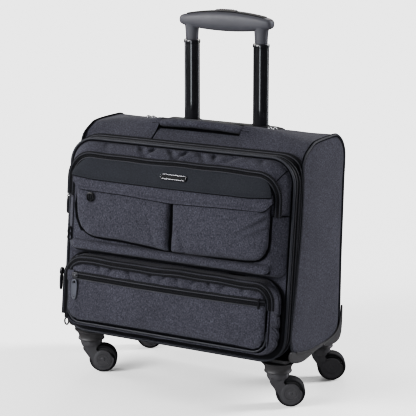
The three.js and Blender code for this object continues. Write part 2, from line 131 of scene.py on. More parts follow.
# ------------------------------------------------------------------ materials
class Shade:
    """A small wrapper that builds a procedural material node by node."""

    def __init__(self, name, roughness, metallic=0.0, **fixed):
        self.mat = bpy.data.materials.new(name)
        self.mat.use_nodes = True
        self.tree = self.mat.node_tree
        self.out = self.tree.nodes["Principled BSDF"]
        self.out.inputs["Roughness"].default_value = roughness
        self.out.inputs["Metallic"].default_value = metallic
        for key, value in fixed.items():
            self.out.inputs[key.replace("_", " ")].default_value = value
        coord = self.tree.nodes.new("ShaderNodeTexCoord")
        self.at, self.normal = coord.outputs["Object"], coord.outputs["Normal"]

    def node(self, kind, settings=(), **inputs):
        made = self.tree.nodes.new("ShaderNode" + kind)
        for key, value in settings:
            setattr(made, key, value)
        for key, value in inputs.items():
            slot = int(key[1:]) if key[0] == "i" and key[1:].isdigit() else key.replace("_", " ")
            socket = made.inputs[slot]
            if isinstance(value, bpy.types.NodeSocket):
                self.tree.links.new(value, socket)
            else:
                socket.default_value = value
        return made.outputs[0]

    def math(self, operation, a, b=0.0):
        return self.node("Math", [("operation", operation)], i0=a, i1=b)

    def scaled(self, x, y, z):
        return self.node("Mapping", Vector=self.at, Scale=(x, y, z))

    def noise(self, scale, detail=3.0, rough=0.55, vector=None):
        return self.node("TexNoise", Vector=vector or self.at, Scale=scale, Detail=detail, Roughness=rough)

    def ramp(self, factor, *stops):
        made = self.tree.nodes.new("ShaderNodeValToRGB")
        self.tree.links.new(factor, made.inputs[0])
        while len(made.color_ramp.elements) < len(stops):
            made.color_ramp.elements.new(0.5)
        for element, (place, color) in zip(made.color_ramp.elements, stops):
            element.position = place
            element.color = (*color, 1) if len(color) == 3 else color
        return made.outputs[0]

    def range(self, value, low, high, to_low, to_high):
        return self.node("MapRange", i0=value, i1=low, i2=high, i3=to_low, i4=to_high)

    def tint(self, color, factor):
        return self.node("VectorMath", [("operation", "SCALE")], Vector=color, Scale=factor)

    def color(self, socket):
        self.tree.links.new(socket, self.out.inputs["Base Color"])

    def rough(self, socket):
        self.tree.links.new(socket, self.out.inputs["Roughness"])

    def bump(self, height, strength, distance):
        bump = self.node("Bump", Strength=strength, Distance=distance, Height=height)
        self.tree.links.new(bump, self.out.inputs["Normal"])

    def weave(self, pitch, ratio=1.0):
        """A plain weave that follows whichever two axes a surface lies along."""
        step = 2 * math.pi / pitch
        split = self.node("SeparateXYZ", Vector=self.at)
        parts = split.node.outputs
        wave = [self.math("SINE", self.math("MULTIPLY", parts[i], step * (ratio if i == 2 else 1)))
                for i in range(3)]
        facing = self.node("SeparateXYZ", Vector=self.node("VectorMath", [("operation", "ABSOLUTE")],
                                                           i0=self.normal))
        share = facing.node.outputs
        total = None
        for i, (a, b) in enumerate(((1, 2), (0, 2), (0, 1))):
            part = self.math("MULTIPLY", self.math("MULTIPLY", wave[a], wave[b]), share[i])
            total = part if total is None else self.math("ADD", total, part)
        return self.range(total, -1, 1, 0, 1)


def fabric(name, dark, mid, light, pitch=0.0016, sheen=0.06, cloud=0.12, depth=0.5):
    """Heathered cloth: pale and dark fibres, longer along the warp, over a plain weave, with painted shade
    darkening its creases and recesses.
    """
    s = Shade(name, 0.92, Sheen_Weight=sheen, Sheen_Roughness=0.5, Specular_IOR_Level=0.12)
    warp = s.noise(1.0, 2.0, 0.6, s.scaled(760, 760, 300))
    weft = s.noise(1.0, 2.0, 0.6, s.scaled(330, 330, 820))
    fibre = s.math("ADD", s.math("MULTIPLY", warp, 0.62), s.math("MULTIPLY", weft, 0.38))
    slub = s.noise(620, 2.0, 0.5)
    fibre = s.math("ADD", fibre, s.math("MULTIPLY", s.math("SUBTRACT", slub, 0.5), 0.30))
    color = s.ramp(fibre, (0.34, dark), (0.50, mid), (0.68, light))
    woven = s.weave(pitch)
    shade = s.math("MULTIPLY", s.range(s.noise(16, 3), 0.3, 0.7, 1 - cloud, 1 + cloud),
                   s.range(woven, 0, 1, 0.86, 1.08))
    # painted shade: ambient occlusion darkens the cloth's colour in creases, seams and recesses
    painted_crease_shade = s.node("AmbientOcclusion", [("samples", 6)], Distance=0.014)
    painted_crease_shade = s.range(painted_crease_shade.node.outputs["AO"], 0.25, 0.95, 0.30, 1.0)
    s.color(s.tint(color, s.math("MULTIPLY", shade, painted_crease_shade)))
    height = s.math("ADD", s.math("MULTIPLY", woven, 0.7), s.math("MULTIPLY", fibre, 0.6))
    s.bump(height, depth, 0.0005)
    s.rough(s.range(fibre, 0.3, 0.7, 0.97, 0.86))
    return s.mat


def grained(name, color, roughness, metallic=0.0, spread=0.08, grain=1400, depth=0.25, wear=0.06, **fixed):
    """Moulded plastic, rubber or metal: a fine grain, faint colour drift and worn roughness."""
    s = Shade(name, roughness, metallic, **fixed)
    drift = s.noise(22, 4)
    low, high = (tuple(c * (1 + k * spread * 2) for c in color) for k in (-1, 1))
    s.color(s.ramp(drift, (0.3, low), (0.7, high)))
    fine = s.noise(grain, 2)
    s.rough(s.range(s.noise(70, 5), 0.3, 0.7, roughness - wear, roughness + wear))
    s.bump(fine, depth, 0.0002)
    return s.mat


def make_gloss():
    """Black lacquered aluminium with faint rubbing along its length."""
    s = Shade("gloss_black", 0.16, 0.0, Coat_Weight=0.8, Coat_Roughness=0.05, Specular_IOR_Level=0.5)
    rub = s.noise(1.0, 4, 0.6, s.scaled(1500, 1500, 14))
    s.rough(s.range(rub, 0.3, 0.75, 0.13, 0.30))
    s.color(s.ramp(s.noise(12, 3), (0.3, (0.006, 0.006, 0.007)), (0.7, (0.011, 0.011, 0.013))))
    s.bump(rub, 0.05, 0.0001)
    return s.mat


def make_brushed():
    """Satin drawn tube: grey, with fine lines along its length."""
    s = Shade("drawn_tube", 0.35, 1.0)
    lines = s.noise(1.0, 3, 0.6, s.scaled(2200, 2200, 20))
    s.color(s.ramp(lines, (0.3, (0.17, 0.17, 0.18)), (0.7, (0.26, 0.26, 0.275))))
    s.rough(s.range(lines, 0.3, 0.7, 0.28, 0.42))
    s.bump(lines, 0.1, 0.0001)
    return s.mat


def make_tape(name, color, pitch):
    """Zip tape and webbing: a tight rib over a dense weave."""
    s = Shade(name, 0.7, Sheen_Weight=0.05, Specular_IOR_Level=0.12)
    rib = s.weave(pitch, 0.5)
    fine = s.noise(1600, 2)
    low, high = (tuple(c * k for c in color) for k in (0.6, 1.5))
    s.color(s.ramp(s.math("ADD", s.math("MULTIPLY", rib, 0.5), s.math("MULTIPLY", fine, 0.5)), (0.35, low),
                   (0.65, high)))
    s.rough(s.range(fine, 0.3, 0.7, 0.6, 0.8))
    s.bump(rib, 0.5, 0.0004)
    return s.mat


MAT = {
    "melange": fabric("melange", (0.020, 0.0196, 0.026), (0.044, 0.0435, 0.057), (0.092, 0.091, 0.115)),
    "nylon": fabric("smooth_nylon", (0.018, 0.020, 0.0245), (0.0235, 0.0255, 0.031), (0.030, 0.032, 0.039),
                    pitch=0.0007, sheen=0.05, cloud=0.06, depth=0.2),
    "lining": fabric("lining", (0.020, 0.020, 0.022), (0.030, 0.030, 0.033), (0.045, 0.045, 0.050),
                     pitch=0.0011, sheen=0.1, cloud=0.05, depth=0.3),
    "tape": make_tape("zip_tape", (0.0045, 0.0045, 0.006), 0.0012),
    "thread": grained("thread", (0.018, 0.018, 0.023), 0.6, grain=3000, Specular_IOR_Level=0.2),
    # grey cord for piping and zip ridges: partly its own tone, partly a painted highlight along the cord
    "cord": grained("pale_cord_painted_highlight", (0.027, 0.028, 0.035), 0.5, grain=2200, depth=0.35,
                    Specular_IOR_Level=0.3),
    # near-black strips, partly real binding, that paint the shadow under hems, beside piping and in gaps and
    # hollows
    "shade": grained("binding_and_painted_shadow", (0.003, 0.003, 0.004), 0.8, grain=2200, depth=0.3,
                     Specular_IOR_Level=0.05),
    "coil": grained("zip_coil", (0.005, 0.005, 0.006), 0.35, grain=2600, Specular_IOR_Level=0.25),
    "plastic": grained("moulded_plastic", (0.046, 0.044, 0.044), 0.45, grain=1500, depth=0.3),
    # a lighter copy of the moulded plastic for the casters: painted light standing in for light bounced up
    # from the floor
    "caster": grained("floor_lit_caster_plastic", (0.064, 0.062, 0.065), 0.4, grain=1500, depth=0.3),
    "satin": grained("satin_plastic", (0.010, 0.010, 0.012), 0.36, grain=1700, depth=0.2),
    "grip": grained("grip_plastic", (0.070, 0.070, 0.081), 0.46, grain=1300, depth=0.5, spread=0.05),
    "tyre": grained("tyre", (0.008, 0.008, 0.009), 0.72, grain=900, depth=0.5, wear=0.1),
    "plate": grained("matt_plate", (0.004, 0.004, 0.005), 0.6, grain=1800, depth=0.2,
                     Specular_IOR_Level=0.15),
    "chrome": grained("chrome", (0.45, 0.45, 0.47), 0.2, 1.0, spread=0.03, grain=900, depth=0.04),
    "steel": grained("steel", (0.16, 0.16, 0.17), 0.3, 1.0, spread=0.05, grain=1400, depth=0.1),
    "silver": grained("puller_grey", (0.075, 0.080, 0.100), 0.42, grain=1500, depth=0.3, spread=0.06),
    "gloss": make_gloss(),
    "brushed": make_brushed(),
}


# the slot that a material usually belongs to
SLOT = {
    "melange": "melange_fabric", "nylon": "smooth_nylon", "lining": "lining_fabric",
    **dict.fromkeys(("tape", "thread", "cord", "shade"), "zip_tape"),
    **dict.fromkeys(("plastic", "caster", "satin", "plate"), "moulded_plastic"),
    **dict.fromkeys(("coil", "chrome", "steel", "silver"), "pull_metal"),
    "grip": "grip_plastic", "tyre": "tyre", "gloss": "gloss_tube", "brushed": "anodised_tube",
}


# ------------------------------------------------------------------ mesh tools
def smooth_curve(points, count, closed=False):
    """A smooth curve through the points, as evenly spaced points."""
    p = np.asarray(points, float)
    n = len(p)
    spans = n if closed else n - 1
    rows = []
    for i in range(spans):
        pick = [(i + k) % n if closed else min(max(i + k, 0), n - 1) for k in (-1, 0, 1, 2)]
        a, b, c, d = p[pick]
        t = np.linspace(0, 1, 16, endpoint=False)[:, None]
        rows.append(0.5 * (2 * b + (c - a) * t + (2 * a - 5 * b + 4 * c - d) * t**2
                           + (3 * b - a - 3 * c + d) * t**3))
    rows.append(p[:1] if closed else p[-1:])
    return spaced(np.concatenate(rows), count, closed)


def spaced(line, count, closed=False):
    """The same line as evenly spaced points."""
    steps = np.linalg.norm(np.diff(line, axis=0), axis=1)
    run = np.concatenate([[0], np.cumsum(steps)])
    at = np.linspace(0, run[-1], count, endpoint=not closed)
    return np.stack([np.interp(at, run, line[:, i]) for i in range(line.shape[1])], -1)


def corners(*edges):
    """Joins smooth edges at sharp corners into one closed outline: (points, count) each."""
    return np.concatenate([smooth_curve(points, count + 1)[:-1] for points, count in edges])


def rounded(half, low, high, upper, lower, across=56, up=26, corner=9):
    """A rounded rectangle that starts at the middle of its lower side and turns up the right."""
    def arc(cx, cy, r, start):
        turn = np.radians(start + 90 * np.arange(corner) / corner)
        return np.stack([cx + r * np.cos(turn), cy + r * np.sin(turn)], -1)

    def line(a, b, n):
        t = np.arange(n)[:, None] / n
        return np.array(a) * (1 - t) + np.array(b) * t

    return np.concatenate([
        line((0, low), (half - lower, low), across // 2),
        arc(half - lower, low + lower, lower, -90),
        line((half, low + lower), (half, high - upper), up),
        arc(half - upper, high - upper, upper, 0),
        line((half - upper, high), (upper - half, high), across),
        arc(upper - half, high - upper, upper, 90),
        line((-half, high - upper), (-half, low + lower), up),
        arc(lower - half, low + lower, lower, 180),
        line((lower - half, low), (0, low), across // 2),
    ])


def new_object(name, verts, faces):
    """A mesh object from millimetres."""
    mesh = bpy.data.meshes.new(name)
    mesh.from_pydata((np.asarray(verts, float) * MM).tolist(), [], [tuple(f) for f in faces])
    obj = bpy.data.objects.new(name, mesh)
    bpy.context.scene.collection.objects.link(obj)
    return obj


def tidy(obj, sharp=38, merge=1e-6):
    """Merges doubles, turns the faces outward and smooths all but the sharp edges."""
    work = bmesh.new()
    work.from_mesh(obj.data)
    bmesh.ops.remove_doubles(work, verts=work.verts, dist=merge)
    bmesh.ops.dissolve_degenerate(work, edges=work.edges, dist=merge)
    bmesh.ops.recalc_face_normals(work, faces=work.faces)
    work.to_mesh(obj.data)
    work.free()
    obj.data.shade_smooth()
    obj.data.set_sharp_from_angle(angle=math.radians(sharp))
    return obj


def dress(obj, material, body, replaces=(), slot=None, sharp=38, bevel=0.0, ready=False):
    """Gives a piece its material and its body, or for a pair of bodies leaves it where it stands, and hides
    the CAD nodes that it replaces.
    """
    if not ready:
        tidy(obj, sharp)
    obj.data.materials.clear()
    obj.data.materials.append(MAT[material])
    if bevel:
        edge = obj.modifiers.new("edge", "BEVEL")
        edge.width, edge.segments, edge.limit_method = bevel * MM, 2, "ANGLE"
        edge.angle_limit = math.radians(40)
        edge.harden_normals = True
    if isinstance(body, tuple):
        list(body)
        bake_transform(obj)
    else:
        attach(obj, body)
    slot or SLOT[material]
    if replaces:
        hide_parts(*replaces)
    return obj


def quads(rows, cols, wrap, first=0, flip=False, keep=None):
    """The faces of a grid of points, row by row; `keep` leaves some out."""
    faces = []
    for i in range(rows if wrap else rows - 1):
        for j in range(cols - 1):
            if keep is not None and not keep[i, j]:
                continue
            a, b = first + i * cols + j, first + ((i + 1) % rows) * cols + j
            faces.append((a, a + 1, b + 1, b) if flip else (a, b, b + 1, a + 1))
    return faces


def shell(name, front, back, wrap=False, keep=None, inner_rim=True):
    """A closed form between two grids of points of the same size."""
    rows, cols = front.shape[:2]
    total = rows * cols
    verts = np.concatenate([front.reshape(-1, 3), back.reshape(-1, 3)])
    faces = quads(rows, cols, wrap, keep=keep) + quads(rows, cols, wrap, total, True, keep)
    for i in range(rows if wrap else rows - 1):
        n = (i + 1) % rows
        for j in ([0, cols - 1] if inner_rim else [0]):
            a, b = i * cols + j, n * cols + j
            faces.append((a, b, b + total, a + total))
    if not wrap:
        for i in (0, rows - 1):
            for j in range(cols - 1):
                a = i * cols + j
                faces.append((a, a + 1, a + 1 + total, a + total))
    return new_object(name, verts, faces)


def normals_of(grid, wrap=False):
    """The direction that each point of a grid faces."""
    if wrap:
        du = np.roll(grid, -1, 0) - np.roll(grid, 1, 0)
    else:
        du = np.gradient(grid, axis=0)
    dv = np.gradient(grid, axis=1)
    n = np.cross(du, dv)
    return n / np.maximum(np.linalg.norm(n, axis=-1, keepdims=True), 1e-9)


def sheet(name, grid, thickness, toward, wrap=False, keep=None):
    """Cloth of a given thickness under a grid of points; `toward` is roughly its outer side."""
    n = normals_of(grid, wrap)
    flip = np.sign(np.sum(n * np.asarray(toward, float), axis=-1, keepdims=True))
    return shell(name, grid, grid - n * np.where(flip == 0, 1, flip) * thickness, wrap, keep)


def below(loop, level):
    """The one stretch of an outline that runs below a level."""
    keep = loop[:, 1] < level
    first = int(np.argmax(keep & ~np.roll(keep, 1)))
    return np.roll(loop, -first, axis=0)[: int(keep.sum())]


def spine_of(loop, low_x, high_x, height):
    """The line inside an outline towards which a pad is filled."""
    return np.stack([np.clip(loop[:, 0], low_x, high_x), np.full(len(loop), float(height))], -1)


def fill(loop, spine, steps, power=1.5):
    """Points from an outline in to its spine, and how far each is from the outline."""
    t = np.linspace(0, 1, steps) ** power
    grid = loop[:, None, :] * (1 - t)[None, :, None] + spine[:, None, :] * t[None, :, None]
    depth = np.linalg.norm(loop - spine, axis=1)[:, None] * t[None, :]
    return grid, depth


def level_at(height):
    """The flat face of a pad, at one height."""
    return lambda x, y, depth: height + 0 * x


def pillow(name, loop, spine, front, back, place, steps=18):
    """A closed pad: `front` and `back` give its two faces from position and edge distance."""
    grid, depth = fill(loop, spine, steps)
    faces = [place(np.dstack([grid, side(grid[..., 0], grid[..., 1], depth)])) for side in (front, back)]
    return shell(name, faces[0], faces[1], wrap=True, inner_rim=False)


def edge(depth, radius):
    """0 at an edge, rising on a quarter circle to 1 at `radius` from it."""
    return np.sqrt(np.clip(1 - (1 - np.clip(depth / radius, 0, 1)) ** 2, 0, 1))


def wrinkle(x, y, scale, seed):
    """Soft noise between -1 and 1 over arrays of positions in millimetres."""
    flat = [noise.noise(Vector((a / scale, b / scale, seed))) for a, b in zip(np.ravel(x), np.ravel(y))]
    return np.reshape(flat, np.shape(x))


def bell(offset, reach):
    """1 where the offset is nothing, fading to 0 beyond the reach."""
    return np.exp(-(offset / reach) ** 2)


def bump_at(x, y, cx, cy, rx, ry):
    """A soft round hill, 1 at (cx, cy)."""
    return np.exp(-((x - cx) / rx) ** 2 - ((y - cy) / ry) ** 2)


def frames(path, normal, closed):
    """Along, up and sideways at each point of a path."""
    if closed:
        tangent = np.roll(path, -1, 0) - np.roll(path, 1, 0)
    else:
        tangent = np.gradient(path, axis=0)
    tangent /= np.maximum(np.linalg.norm(tangent, axis=1, keepdims=True), 1e-9)
    normal = np.broadcast_to(np.asarray(normal, float), path.shape)
    normal = normal - tangent * np.sum(normal * tangent, axis=1, keepdims=True)
    normal = normal / np.maximum(np.linalg.norm(normal, axis=1, keepdims=True), 1e-9)
    return tangent, normal, np.cross(tangent, normal)


def loft_mesh(rings, closed=False):
    """Rings of points joined one to the next; the end rings are capped unless they meet."""
    rings = np.asarray(rings, float)
    n, m = rings.shape[:2]
    faces = []
    for i in range(n if closed else n - 1):
        for j in range(m):
            k, after = (j + 1) % m, (i + 1) % n
            faces.append((i * m + j, i * m + k, after * m + k, after * m + j))
    if not closed:
        faces += [tuple(range(m)), tuple(range((n - 1) * m, n * m))]
    return rings.reshape(-1, 3), faces


def sweep_mesh(path, profile, normal, closed=False):
    """A closed profile (across, along the normal) carried along a path."""
    _, up, side = frames(path, normal, closed)
    across, along = np.asarray(profile, float).T[:, None, :, None]
    return loft_mesh(path[:, None] + side[:, None] * across + up[:, None] * along, closed)


def sweep(name, path, profile, normal, closed=False):
    """An object of one profile carried along a path."""
    return new_object(name, *sweep_mesh(path, profile, normal, closed))


def turns(count):
    """Angles evenly round a full turn."""
    return np.linspace(0, 2 * math.pi, count, endpoint=False)


def circle(radius, sides=8):
    """A round profile."""
    turn = np.arange(sides) * 2 * math.pi / sides
    return np.stack([radius * np.cos(turn), radius * np.sin(turn)], -1)


def merged(name, parts):
    """One object from several (points, faces) parts."""
    verts, faces, base = [], [], 0
    for v, f in parts:
        verts.append(np.asarray(v, float))
        faces += [tuple(i + base for i in face) for face in f]
        base += len(v)
    return new_object(name, np.concatenate(verts), faces)


def stitch_parts(path, normal, closed=False, pitch=3.4, length=2.4, radius=0.34):
    """Thread stitches lying along a path, each a small pointed bead."""
    run = np.linalg.norm(np.diff(path, axis=0), axis=1).sum()
    count = max(int(run / pitch), 2)
    line = spaced(np.concatenate([path, path[:1]]) if closed else path, count, closed)
    if np.ndim(normal) == 2:
        normal = spaced(np.concatenate([normal, normal[:1]]) if closed else normal, count, closed)
    along, up, side = frames(line, normal, closed)
    parts = []
    for p, t, n, s in zip(line, along, up, side):
        ring = [p + n * radius, p + s * radius, p - n * radius, p - s * radius]
        verts = [p - t * length / 2, *[q - t * length * 0.28 for q in ring],
                 *[q + t * length * 0.28 for q in ring], p + t * length / 2]
        faces = [(0, 2, 1), (0, 3, 2), (0, 4, 3), (0, 1, 4)]
        faces += [(1 + k, 1 + (k + 1) % 4, 5 + (k + 1) % 4, 5 + k) for k in range(4)]
        faces += [(9, 5, 6), (9, 6, 7), (9, 7, 8), (9, 8, 5)]
        parts.append((verts, faces))
    return parts


def stitches(name, lines, body):
    """Rows of thread along (path, normal, closed) lines, as one piece."""
    parts = []
    for path, normal, closed in lines:
        parts += stitch_parts(path, normal, closed)
    build(name, parts, "thread", body, sharp=80)


def strand(name, path, radius, normal, material, body, replaces=(), closed=False, sides=8):
    """A round cord, piping, binding or wire along a path."""
    dress(sweep(name, path, circle(radius, sides), normal, closed), material, body, replaces)


def build(name, parts, *looks, **more):
    """One piece made of several parts, dressed."""
    dress(merged(name, parts), *looks, **more)


def axes(origin, a, b, c):
    """The placing of (a, b, c) rows along three directions from an origin."""
    return lambda p: origin + p[..., :1] * a + p[..., 1:2] * b + p[..., 2:] * c


def bake(obj):
    """Makes the shape that an object's modifiers give its own."""
    depsgraph = bpy.context.evaluated_depsgraph_get()
    obj.data = bpy.data.meshes.new_from_object(obj.evaluated_get(depsgraph))
    obj.modifiers.clear()


def carve(obj, cutter):
    """Takes the cutter's space out of obj and removes the cutter."""
    cut = obj.modifiers.new("cut", "BOOLEAN")
    cut.operation, cut.solver, cut.object = "DIFFERENCE", "EXACT", cutter
    bake(obj)
    bpy.data.objects.remove(cutter)


def turned_parts(profile, sides, place):
    """A lathe: profile of (radius, height), `place` maps (x, y, height) rows to the object."""
    turn = np.arange(sides) * 2 * math.pi / sides
    r, h = np.asarray(profile, float).T
    rings = np.stack([r[None] * np.cos(turn)[:, None], r[None] * np.sin(turn)[:, None],
                      np.broadcast_to(h, (sides, len(h)))], -1)
    return place(rings).reshape(-1, 3), quads(sides, len(h), True)


def prism_parts(outline, place, low, high):
    """An outline in a plane given thickness: `place` maps (a, b, height) rows to the object."""
    n = len(outline)
    rows = [np.column_stack([outline, np.full(n, float(h))]) for h in (low, high)]
    verts = place(np.concatenate(rows))
    faces = [tuple(range(n))[::-1], tuple(range(n, 2 * n))]
    faces += [(i, (i + 1) % n, n + (i + 1) % n, n + i) for i in range(n)]
    return verts, faces


def surface_tree(obj):
    """A search tree over a surface, in millimetres."""
    mesh = obj.data
    return BVHTree.FromPolygons([v.co / MM for v in mesh.vertices], [p.vertices[:] for p in mesh.polygons])


def laid_on(tree, points, direction, lift, reach=60):
    """Moves points back along `direction` until they lie `lift` above a surface."""
    placed = []
    way = Vector(direction).normalized()
    for p in np.asarray(points, float):
        hit = tree.ray_cast(Vector(p) + way * reach, -way)[0]
        placed.append(np.array(hit if hit is not None else p) + np.array(way) * lift)
    placed = np.array(placed)
    smooth = placed.copy()
    smooth[1:-1] = (placed[:-2] + placed[1:-1] * 2 + placed[2:]) / 4
    return smooth


def puff(obj, cap, pressure=4.0, voxel=5.0, settle=20):
    """Inflates a closed pad as stuffed cloth, moving no point further than `cap` mm."""
    tidy(obj, 180)
    remesh = obj.modifiers.new("remesh", "REMESH")
    remesh.mode, remesh.voxel_size = "VOXEL", voxel * MM
    bake(obj)
    rest = np.array([v.co for v in obj.data.vertices])
    cloth = obj.modifiers.new("cloth", "CLOTH")
    cloth.settings.quality = 5
    cloth.settings.mass = 0.3
    cloth.settings.tension_stiffness = cloth.settings.compression_stiffness = 25
    cloth.settings.bending_stiffness = 2.0
    cloth.settings.use_pressure = True
    cloth.settings.uniform_pressure_force = pressure
    cloth.settings.effector_weights.gravity = 0
    scene = bpy.context.scene
    for number in range(1, settle + 1):
        scene.frame_set(number)
    depsgraph = bpy.context.evaluated_depsgraph_get()
    moved = np.array([v.co for v in obj.evaluated_get(depsgraph).data.vertices])
    shift = moved - rest
    size = np.linalg.norm(shift, axis=1, keepdims=True)
    shift *= np.minimum(1, cap * MM / np.maximum(size, 1e-9))
    obj.modifiers.clear()
    scene.frame_set(1)
    for vert, place in zip(obj.data.vertices, rest + shift):
        vert.co = place
    subdivide = obj.modifiers.new("subdivide", "SUBSURF")
    subdivide.levels = subdivide.render_levels = 1
    bake(obj)
    return tidy(obj, 60)


def lid_of(places):
    """The inverse of lid(): across, up the lid's face and out of it."""
    c, s = math.cos(LEAN), math.sin(LEAN)
    y, z = places[:, 1] - LID_AT[0], places[:, 2] - LID_AT[1]
    return places[:, 0], y * s + z * c, -y * c + z * s


def push(obj, height, floor):
    """Moves the part of a surface above `floor` in or out along the lid's normal."""
    places = np.array([v.co for v in obj.data.vertices]) / MM
    x, w, v = lid_of(places)
    share = np.clip((v - floor) / 4, 0, 1)
    places += (height(x, w) * share)[:, None] * OUT
    for vert, place in zip(obj.data.vertices, places):
        vert.co = place * MM


def lid(points):
    """Across, up the lid's face and out of it, to the object's own frame."""
    p = np.asarray(points, float)
    x, w, v = p[..., 0], p[..., 1], p[..., 2]
    c, s = math.cos(LEAN), math.sin(LEAN)
    return np.stack([x, LID_AT[0] - v * c + w * s, LID_AT[1] + v * s + w * c], -1)


def at_level(loop, v):
    """An outline on the lid, `v` out of its face."""
    return np.column_stack([loop, np.broadcast_to(v, len(loop))])


def sideways(p):
    """(depth, height, across) rows to the object's own frame."""
    return p[..., [2, 0, 1]]


def lid_loop(out):
    """The lid's outline, moved outward."""
    return rounded(SIDE + out, LID_LOW - out, LID_HIGH + out, LID_CORNER + out, LID_CORNER + out)


# ------------------------------------------------------------------ body
SIDE_FRONT = [(-66, 98), (-72, 121), (-63, 160), (-55, 200), (-46, 248), (-38, 296), (-35, 330), (-33, 365),
              (-33, 397)]
SIDE_TOP = [(-33, 397), (-29, 408), (-22, 416), (-7, 424), (8, 430), (33, 431.5), (64, 431.5), (89, 430.5),
            (103, 424), (113, 415), (119, 405), (122, 394)]
SIDE_BACK = [(122, 394), (121.5, 375), (119.5, 350), (118, 314), (116, 268), (114, 222), (113, 160),
             (112, 110), (108, 90), (98, 80)]
SIDE_LOW = [(98, 80), (84, 77.6), (48, 78), (4, 78), (-33, 82), (-52, 87), (-66, 98)]
TOP_MIDDLE = [(-24, 415), (-17, 419.3), (-10, 423.6), (-2, 428.5), (8, 434.8), (20, 441.8), (31, 443.6),
              (48, 440), (68, 434.6), (88, 430.5), (108, 419), (121, 397)]
BEZEL = (-113.3, 113.3, 78.7, 114.5)


def side_outline(count=150):
    """Depth and height round a side panel."""
    whole = []
    for points in (SIDE_FRONT, SIDE_TOP, SIDE_BACK, SIDE_LOW):
        whole += points[:-1]
    return smooth_curve(whole, count, closed=True)


def make_sides():
    loop = side_outline()
    spine = np.stack([np.clip(27 + (loop[:, 1] - 255) * 0.02, 20, 40), np.clip(loop[:, 1], 165, 345)], -1)
    for name, sign in SIDES:
        def outer(y, z, d, sign=sign):
            swell = 3.2 * edge(d, 55) + 0.8 * wrinkle(y, z, 62, sign * 3.1) * edge(d, 40)
            return sign * (SIDE - 0.6 + swell)

        panel = pillow(f"side_{name}", loop, spine, outer, level_at(sign * (SIDE - 3.6)), sideways, 20)
        dress(panel, "melange", "shell", (f"side_panel_{name}",))
        rim = np.column_stack([np.full(len(loop), sign * (SIDE + 0.4)), loop])
        strand(f"side_piping_{name}", rim, 1.8, (sign, 0, 0), "cord", "shell", closed=True)
        inset, _ = fill(loop, spine, 40, 1.0)
        way = inset[:, 1] - inset[:, 0]
        way /= np.linalg.norm(way, axis=1, keepdims=True)
        # near-black bindings on both sides of the piping: painted shadow along its flanks
        for tag, inward, out, radius in (("inner", 2.3, 0.9, 0.9), ("outer", -1.2, -1.3, 1.4)):
            line = np.column_stack([np.full(len(loop), sign * (SIDE + out)), loop + way * inward])
            strand(f"side_shadow_binding_{tag}_{name}", line, radius, (sign, 0, 0), "shade", "shell", closed=True)
        seam = np.column_stack([np.full(len(loop), sign * (SIDE + 0.5)), inset[:, 2]])
        stitches(f"side_stitching_{name}", [(seam, (sign, 0, 0), True)], "shell")
        lower = [(70, 77.4), (30, 77.4), (0, 78.6), (-36, 83), (-50, 88), (-50, 93.5), (-34, 88.5),
                 (0, 83.5), (30, 82.4), (70, 82.4)]
        strip = prism_parts(np.array(lower, float), sideways, sign * (SIDE + 0.4), sign * (SIDE + 2.0))
        build(f"sill_{name}", [strip], "plastic", "shell", bevel=0.6)


def top_point(x, u):
    """The top's surface from the front band (u = 0) to the rear edge (u = 1)."""
    side, middle = smooth_curve(SIDE_TOP, TOP_STEPS), smooth_curve(TOP_MIDDLE, TOP_STEPS)
    at = np.clip(u, 0, 1) * (TOP_STEPS - 1)
    base = np.arange(TOP_STEPS)
    low = np.stack([np.interp(at, base, side[:, i]) for i in (0, 1)], -1)
    high = np.stack([np.interp(at, base, middle[:, i]) for i in (0, 1)], -1)
    across = np.abs(x) / SIDE
    front = np.sqrt(np.clip(1 - (np.clip(np.abs(x) - 172, 0, 40) / 40) ** 2, 0, 1))
    crown = 1 - across ** 2.6
    k = np.clip(u / 0.3, 0, 1)
    k = k * k * (3 - 2 * k)
    share = (front * (1 - k) + crown * k)[..., None]
    yz = low * (1 - share) + high * share
    return np.dstack([x, yz[..., 0], yz[..., 1]])


